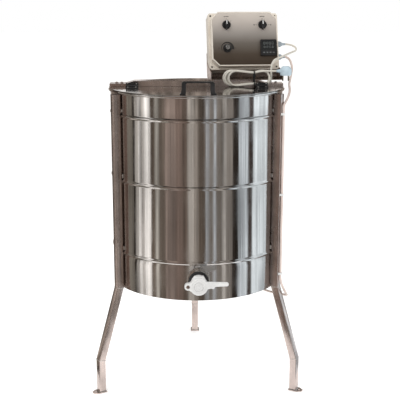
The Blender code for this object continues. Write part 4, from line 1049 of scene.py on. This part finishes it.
def motor():
    top_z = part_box("motor_body")[1].z
    centre = Vector((0.0, 0.165, 0.0))
    radius = 0.055
    boss = [(0.0068, top_z - 0.02), (0.0068, top_z), (0.013, top_z)]
    boss += [(0.014, top_z - 0.001), (0.014, top_z - 0.004)]
    boss += [(radius - 0.002, top_z - 0.004), (radius, top_z - 0.006), (radius, top_z - 0.02)]
    z = top_z - 0.022
    while z > top_z - 0.086:
        groove = radius - 0.0026
        boss += [(groove, z), (groove, z - 0.003), (radius, z - 0.0034), (radius, z - 0.0056)]
        z -= 0.006
    boss += [(radius, top_z - 0.09), (radius - 0.003, top_z - 0.096), (radius - 0.008, top_z - 0.108)]
    boss += [(0, top_z - 0.108), (0, top_z - 0.02)]
    body = turned(boss, 96)
    terminal = block((radius - 0.012, -0.022, top_z - 0.062), (radius + 0.022, 0.022, top_z - 0.02))
    cap = block((radius + 0.006, -0.0228, top_z - 0.02), (radius + 0.0226, 0.0228, top_z - 0.0188))
    mesh = joined([body, terminal, cap])
    mesh.transform(Matrix.Translation(centre))
    add("motor_housing", mesh, "frame", "paint", ["motor_body"], 0.0008, 3)


# ---------------------------------------------------------------- control box

def octagon(width, height, chamfer, soften=0.0):
    w = width / 2
    h = height / 2
    corners = [(w, h - chamfer), (w - chamfer, h), (-w + chamfer, h), (-w, h - chamfer)]
    corners += [(-x, -z) for x, z in corners]
    if soften <= 0:
        return corners
    points = []
    for before, here, after in zip(corners[-1:] + corners[:-1], corners, corners[1:] + corners[:1]):
        a = Vector(here).lerp(Vector(before), soften / (Vector(here) - Vector(before)).length)
        b = Vector(here).lerp(Vector(after), soften / (Vector(here) - Vector(after)).length)
        for k in range(7):
            t = k / 6
            p = a * (1 - t) ** 2 + Vector(here) * 2 * t * (1 - t) + b * t ** 2
            points.append((p.x, p.y))
    return points


def control_box():
    half = (BOX_W / 2, BOX_H / 2)
    base = prism(octagon(BOX_W, BOX_H, 0.006, 0.002), SEAM + GAP, BOX_DEPTH, "y")
    wells = []
    screws = []
    front = Matrix.Rotation(math.radians(90), 4, "X")
    for sx in (-1, 1):
        for sz in (-1, 1):
            x = sx * (half[0] - 0.0095)
            z = sz * (half[1] - 0.0095)
            wells.append(rod(0.0034, -SEAM - 0.006, -SEAM + 0.01, 32, facing_front(x, z)))
            screws.append(dome_screw((x, SEAM + 0.005, z), 0.003, front))
    add("box_shell", cut(base, wells), "frame", "box", ["box_base"], 0.0014, 4, place=BOX)
    add("box_screws", joined(screws), "frame", "black", sharp=40.0, place=BOX)
    lid = prism(octagon(FACE_W, FACE_H, CHAMFER, 0.003), 0.0, SEAM, "y")
    recess = prism(octagon(FACE_W - 0.008, FACE_H - 0.008, CHAMFER - 0.002, 0.0015), -0.01, PLATE_T + GAP,
                   "y")
    add("box_cover", cut(lid, [recess]), "frame", "box", ["box_lid"], 0.0011, 4, place=BOX)
    inset = 0.008 + 2 * GAP
    plate = prism(octagon(FACE_W - inset, FACE_H - inset, CHAMFER - 0.002, 0.0015), 0.0003, PLATE_T, "y")
    add("face_plate", plate, "frame", "panel", ["panel_plate"], 0.0003, 2, place=BOX)
    refine("control_bracket", "satin", 0.0005, 2)
    panel_marks()
    for side, x in (("left", -KNOB_X), ("right", KNOB_X)):
        selector(side, x)
    speed_knob()
    display()


def plaque(x, z, width, height, near, far):
    """A block given by its middle and size as seen from the front, from near to far."""
    return block((x - width / 2, near, z - height / 2), (x + width / 2, far, z + height / 2))


def studs(x, z, reach, count, radius, low, high, steps):
    """Thin rods set round a knob's axis."""
    rods = []
    for i in range(count):
        a = math.tau * i / count
        place = facing_front(x + reach * math.cos(a), z + reach * math.sin(a))
        rods.append(rod(radius, low, high, steps, place))
    return rods


def panel_marks():
    """Printed marks only: position ticks, small bars over the knobs and the swelling speed scale."""
    ink = []
    low, high = -0.00012, 0.0004

    def bar(x, z, width, height, turn=0.0):
        mesh = plaque(0, 0, width, height, low, high)
        mesh.transform(Matrix.Translation((x, 0, z)) @ Matrix.Rotation(math.radians(turn), 4, "Y"))
        ink.append(mesh)

    for x, places in ((-KNOB_X, (0, 50)), (KNOB_X, (-90, 0, 90))):
        for place in places:
            a = math.radians(place)
            bar(x + TICK_R * math.sin(a), KNOB_TOP_Z + TICK_R * math.cos(a), 0.0012, 0.0034, place)
        for i in range(3):
            bar(x + (i - 1) * 0.006, KNOB_TOP_Z + 0.03, 0.0042, 0.0022)
    for side in (-1, 1):
        bar(KNOB_X + side * 0.029, KNOB_TOP_Z, 0.0062, 0.0018)
        bar(-KNOB_X + side * 0.029, KNOB_LOW_Z + 0.0005, 0.004, 0.0012)
    steps = 48
    outer = []
    inner = []
    for i in range(steps + 1):
        t = i / steps
        a = math.radians(205 - 215 * t)
        width = 0.0007 + 0.0085 * t ** 1.2
        for edge, reach in ((outer, SCALE_R + width / 2), (inner, SCALE_R - width / 2)):
            edge.append((reach * math.cos(a) - KNOB_X, reach * math.sin(a) + KNOB_LOW_Z))
    ink.append(prism(outer + inner[::-1], low, high, "y"))
    add("panel_marks", joined(ink), "frame", "ink", place=BOX)


def selector(side, x):
    """Selector: round skirt, tapered finger bar that ends in a point, white line."""
    body = side + "_selector"
    profile = [(0, GAP), (0.015, GAP), (0.015, 0.0022), (0.0146, 0.004), (0.0138, 0.005), (0, 0.0052)]
    skirt = turned(profile, 64, facing_front(x, KNOB_TOP_Z))
    teeth = studs(x, KNOB_TOP_Z, 0.0149, 30, 0.0005, GAP + 0.0004, 0.004, 8)
    grip = [(-0.0042, 0.0134), (0.0042, 0.0134), (0.006, 0.003), (0.0062, -0.007), (0.0012, -0.019)]
    grip += [(-0.0012, -0.019), (-0.0062, -0.007), (-0.006, 0.003)]
    bar = prism([(gx + x, gz + KNOB_TOP_Z) for gx, gz in grip], -0.016, -0.003, "y")
    node = "selector_" + side
    add(node + "_grip", joined([skirt, bar] + teeth), body, "black", [node], 0.0008, 3, place=BOX)
    line = block((x - 0.0013, -0.0163, KNOB_TOP_Z - 0.001), (x + 0.0013, -0.0156, KNOB_TOP_Z + 0.0126))
    add(node + "_line", line, body, "white_mark", place=BOX)


def speed_knob():
    """Fluted knob with a satin metal cap and a dark ink line."""
    x, z = -KNOB_X, KNOB_LOW_Z
    profile = [(0, GAP), (0.015, GAP), (0.0148, 0.0024), (0.014, 0.0036), (0.0104, 0.005), (0.0094, 0.014)]
    profile += [(0.0086, 0.0152), (0, 0.0152)]
    meshes = [turned(profile, 64, facing_front(x, z))]
    meshes += studs(x, z, 0.0098, 20, 0.0007, 0.004, 0.0142, 10)
    add("speed_grip", joined(meshes), "speed_dial", "black", ["speed_knob"], 0.0003, 2, place=BOX)
    cap = [(0, 0.015), (0.0084, 0.015), (0.0082, 0.0158), (0.006, 0.016), (0.0056, 0.0157), (0, 0.0157)]
    add("speed_cap", turned(cap, 64, facing_front(x, z)), "speed_dial", "bright", place=BOX)
    line = block((x - 0.0006, -0.0163, z + 0.002), (x + 0.0006, -0.0155, z + 0.0078))
    add("speed_line", line, "speed_dial", "ink", place=BOX)


def display():
    """Square display: bevelled bezel, dark window with two rows of blank segments, four keys."""
    half = METER_SIZE / 2
    face = -GAP - METER_DEPTH
    outline = octagon(METER_SIZE, METER_SIZE, 0.0015, 0.0006)
    housing = prism([(x + METER_X, z + KNOB_LOW_Z) for x, z in outline], face, -GAP, "y")
    side = half - 0.005
    foot = KNOB_LOW_Z - 0.008
    head = KNOB_LOW_Z + half - 0.006
    window = block((METER_X - side, -0.02, foot), (METER_X + side, face + 0.0012, head))
    key_z = KNOB_LOW_Z - 0.018
    cutters = [window]
    for i in range(4):
        key_x = METER_X + (i - 1.5) * KEY_PITCH
        cutters.append(plaque(key_x, key_z, 0.008, 0.006, -0.02, -0.004))
    add("display_bezel", cut(housing, cutters), "frame", "black", ["display_housing"], 0.0005, 3, place=BOX)
    pane = block((METER_X - side + GAP, face + 0.0008, foot + GAP),
                 (METER_X + side - GAP, face + 0.0012, head - GAP))
    add("display_pane", pane, "frame", "screen", place=BOX)
    segments = []
    for row_z, height, count in ((0.015, 0.0085, 4), (0.002, 0.006, 4)):
        pitch = 0.0098
        for i in range(count):
            x = METER_X + (i - (count - 1) / 2) * pitch
            segments += digit(x, KNOB_LOW_Z + row_z, pitch * 0.62, height, face + 0.0008)
    add("display_segments", joined(segments), "frame", "segment", place=BOX)
    marks = []
    for i in range(4):
        key_x = METER_X + (i - 1.5) * KEY_PITCH
        marks.append(plaque(key_x, key_z, 0.0024, 0.0006, face - 0.0012, face - 0.0008))
        piece = refine("display_key_" + str(i + 1), "key", 0.0006, 3)
        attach(piece, "key_" + str(i + 1))
    for i, mark in enumerate(marks):
        add("key_mark_" + str(i + 1), mark, "key_" + str(i + 1), "white_mark", place=BOX)


def digit(x, z, width, height, face):
    """The seven unlit segments of one blank digit."""
    bars = []
    thick = height * 0.13
    for row in (-1, 0, 1):
        bars.append((x, z + row * height / 2, width - 2 * thick, thick))
    for side in (-1, 1):
        for row in (-1, 1):
            bars.append((x + side * width / 2, z + row * height / 4, thick, height / 2 - 1.4 * thick))
    return [plaque(*bar, face - 0.0001, face + 0.0002) for bar in bars]


def clips():
    for number in range(1, 4):
        refine("lead_clip_" + str(number), "gate", 0.0005, 3)


# ---------------------------------------------------------------- stage

# Angle from the front, in degrees, where each upright starts, and its tone.
BANDS = ((-180, (0.24, 0.2, 0.17)), (-168, (0.9, 0.88, 0.86)), (-154, (0.34, 0.3, 0.27)),
         (-140, (0.2, 0.16, 0.13)), (-128, (0.07, 0.055, 0.045)), (-108, (0.5, 0.46, 0.42)),
         (-96, (0.22, 0.2, 0.17)), (-84, (0.03, 0.024, 0.02)), (-80, (0.42, 0.4, 0.37)),
         (-75, (0.96, 0.94, 0.91)), (-70, (0.62, 0.59, 0.55)), (-66, (1.1, 1.08, 1.05)),
         (-57, (0.12, 0.095, 0.075)), (-51, (0.44, 0.42, 0.38)), (-46, (0.14, 0.115, 0.095)),
         (-38, (0.3, 0.24, 0.21)), (-26, (0.22, 0.165, 0.14)), (-18, (0.15, 0.115, 0.095)),
         (-12, (0.5, 0.47, 0.43)), (-5, (0.3, 0.27, 0.24)), (0, (0.13, 0.105, 0.085)),
         (8, (0.42, 0.44, 0.46)), (12, (0.22, 0.2, 0.18)), (17, (0.52, 0.56, 0.6)),
         (20, (0.2, 0.18, 0.16)), (28, (0.55, 0.53, 0.5)), (32, (0.24, 0.22, 0.2)),
         (40, (0.03, 0.024, 0.02)), (48, (0.72, 0.8, 0.86)), (61, (0.07, 0.055, 0.05)),
         (68, (0.9, 1.0, 1.06)), (112, (0.09, 0.065, 0.05)), (126, (0.26, 0.22, 0.19)),
         (154, (0.75, 0.72, 0.69)), (168, (0.24, 0.2, 0.17)))


def band_at(degrees):
    """Colour of the surroundings at an angle from the front, stepping softly from band to band."""
    current = BANDS[0]
    for index, band in enumerate(BANDS):
        if degrees >= band[0]:
            current = band
            before = BANDS[index - 1]
    blend = min(1.0, (degrees - current[0]) / 1.5)
    return tuple(a * (1 - blend) + b * blend for a, b in zip(before[1], current[1]))


# Radius, height and brightness of each row of points in the ring, from the floor up.
RING_ROWS = ((0.5, 0.012, 0.95), (0.8, 0.012, 1.0), (1.1, 0.012, 1.0), (1.1, 0.1, 0.95), (1.1, 0.25, 1.15),
             (1.1, 0.45, 0.95), (1.1, 0.6, 0.85), (1.1, 0.75, 1.05), (1.1, 0.9, 0.85), (1.1, 1.02, 1.15),
             (1.1, 1.14, 1.0), (1.1, 1.24, 0.95), (1.1, 1.4, 0.4), (1.1, 1.75, 0.35), (1.1, 2.4, 0.75))
RING_STEPS = 1080


def ring_tone(degrees, height, brightness):
    """Colour at a point of the ring, broken up by fine streaks and broad patches."""
    fine = noise.noise(Vector((degrees * 0.9, height * 1.6, 1.7)))
    broad = noise.noise(Vector((degrees * 0.12, height * 2.4, 8.3)))
    flicker = max(0.1, 1 + 0.75 * fine + 0.55 * broad)
    return (*(c * brightness * flicker for c in band_at(degrees)), 1.0)


def surroundings():
    """A ring of light and dark uprights that only mirrors can see."""
    bm = bmesh.new()
    layer = bm.loops.layers.float_color.new("tone")
    columns = []
    for i in range(RING_STEPS + 1):
        a = math.radians(-180 + 360 * i / RING_STEPS)
        columns.append([bm.verts.new((r * math.sin(a), -r * math.cos(a), z)) for r, z, _ in RING_ROWS])
    for i in range(RING_STEPS):
        for k in range(len(RING_ROWS) - 1):
            corners = ((i, k), (i + 1, k), (i + 1, k + 1), (i, k + 1))
            face = bm.faces.new([columns[step][row] for step, row in corners])
            for loop, (step, row) in zip(face.loops, corners):
                _, height, brightness = RING_ROWS[row]
                loop[layer] = ring_tone(-180 + 360 * step / RING_STEPS, height, brightness)
    mesh = to_mesh(bm, "surroundings")
    material = bpy.data.materials.new("surroundings")
    material.use_nodes = True
    tree = material.node_tree
    tree.nodes.clear()
    output = tree.nodes.new("ShaderNodeOutputMaterial")
    glow = tree.nodes.new("ShaderNodeEmission")
    tone = tree.nodes.new("ShaderNodeAttribute")
    tone.attribute_name = "tone"
    tree.links.new(tone.outputs["Color"], glow.inputs["Color"])
    tree.links.new(glow.outputs["Emission"], output.inputs["Surface"])
    mesh.materials.append(material)
    made = placed("surroundings", mesh)
    made.location = AXIS
    for name in ("visible_camera", "visible_diffuse", "visible_shadow", "visible_transmission"):
        setattr(made, name, False)


def stage():
    bm = bmesh.new()
    bmesh.ops.create_grid(bm, x_segments=1, y_segments=1, size=30.0)
    mesh = to_mesh(bm, "floor")
    floor = placed("floor", mesh)
    floor_look = Look("floor", (0.93, 0.93, 0.925), 0.7)
    floor_look.vary_roughness(floor_look.pattern(2.0, 3.0), 0.62, 0.78)
    floor_look.shader.inputs["Emission Color"].default_value = (1.0, 1.0, 1.0, 1.0)
    floor_look.shader.inputs["Emission Strength"].default_value = 0.42
    mesh.materials.append(floor_look.material)
    world = bpy.data.worlds.new("studio")
    bpy.context.scene.world = world
    world.use_nodes = True
    nodes = world.node_tree.nodes
    links = world.node_tree.links
    background = nodes["Background"]
    background.inputs["Strength"].default_value = 0.72
    backdrop = nodes.new("ShaderNodeBackground")
    path = nodes.new("ShaderNodeLightPath")
    mix = nodes.new("ShaderNodeMixShader")
    background.inputs["Color"].default_value = (1.0, 0.985, 0.97, 1.0)
    backdrop.inputs["Color"].default_value = (1.0, 1.0, 1.0, 1.0)
    links.new(path.outputs["Is Camera Ray"], mix.inputs["Fac"])
    links.new(background.outputs["Background"], mix.inputs[1])
    links.new(backdrop.outputs["Background"], mix.inputs[2])
    links.new(mix.outputs["Shader"], nodes["World Output"].inputs["Surface"])
    lamps = (("key", (-1.6, -2.2, 3.2), 42.0, 1.6), ("fill", (2.2, -1.4, 2.2), 12.0, 2.0),
             ("rim", (0.4, 2.4, 2.6), 20.0, 2.0))
    for name, place, power, size in lamps:
        data = bpy.data.lights.new(name, "AREA")
        data.energy = power
        data.size = size
        lamp = placed(name, data)
        lamp.location = place
        lamp.rotation_euler = (Vector((0, 0, 0.7)) - Vector(place)).to_track_quat("-Z", "Y").to_euler()
        lamp.visible_glossy = False
    bpy.context.scene.view_settings.view_transform = "Standard"
    bpy.context.scene.view_settings.look = "None"


camera()
cords()
drum()
drum_floor()
legs()
gate()
top()
machinery()
control_box()
clips()
surroundings()
stage()
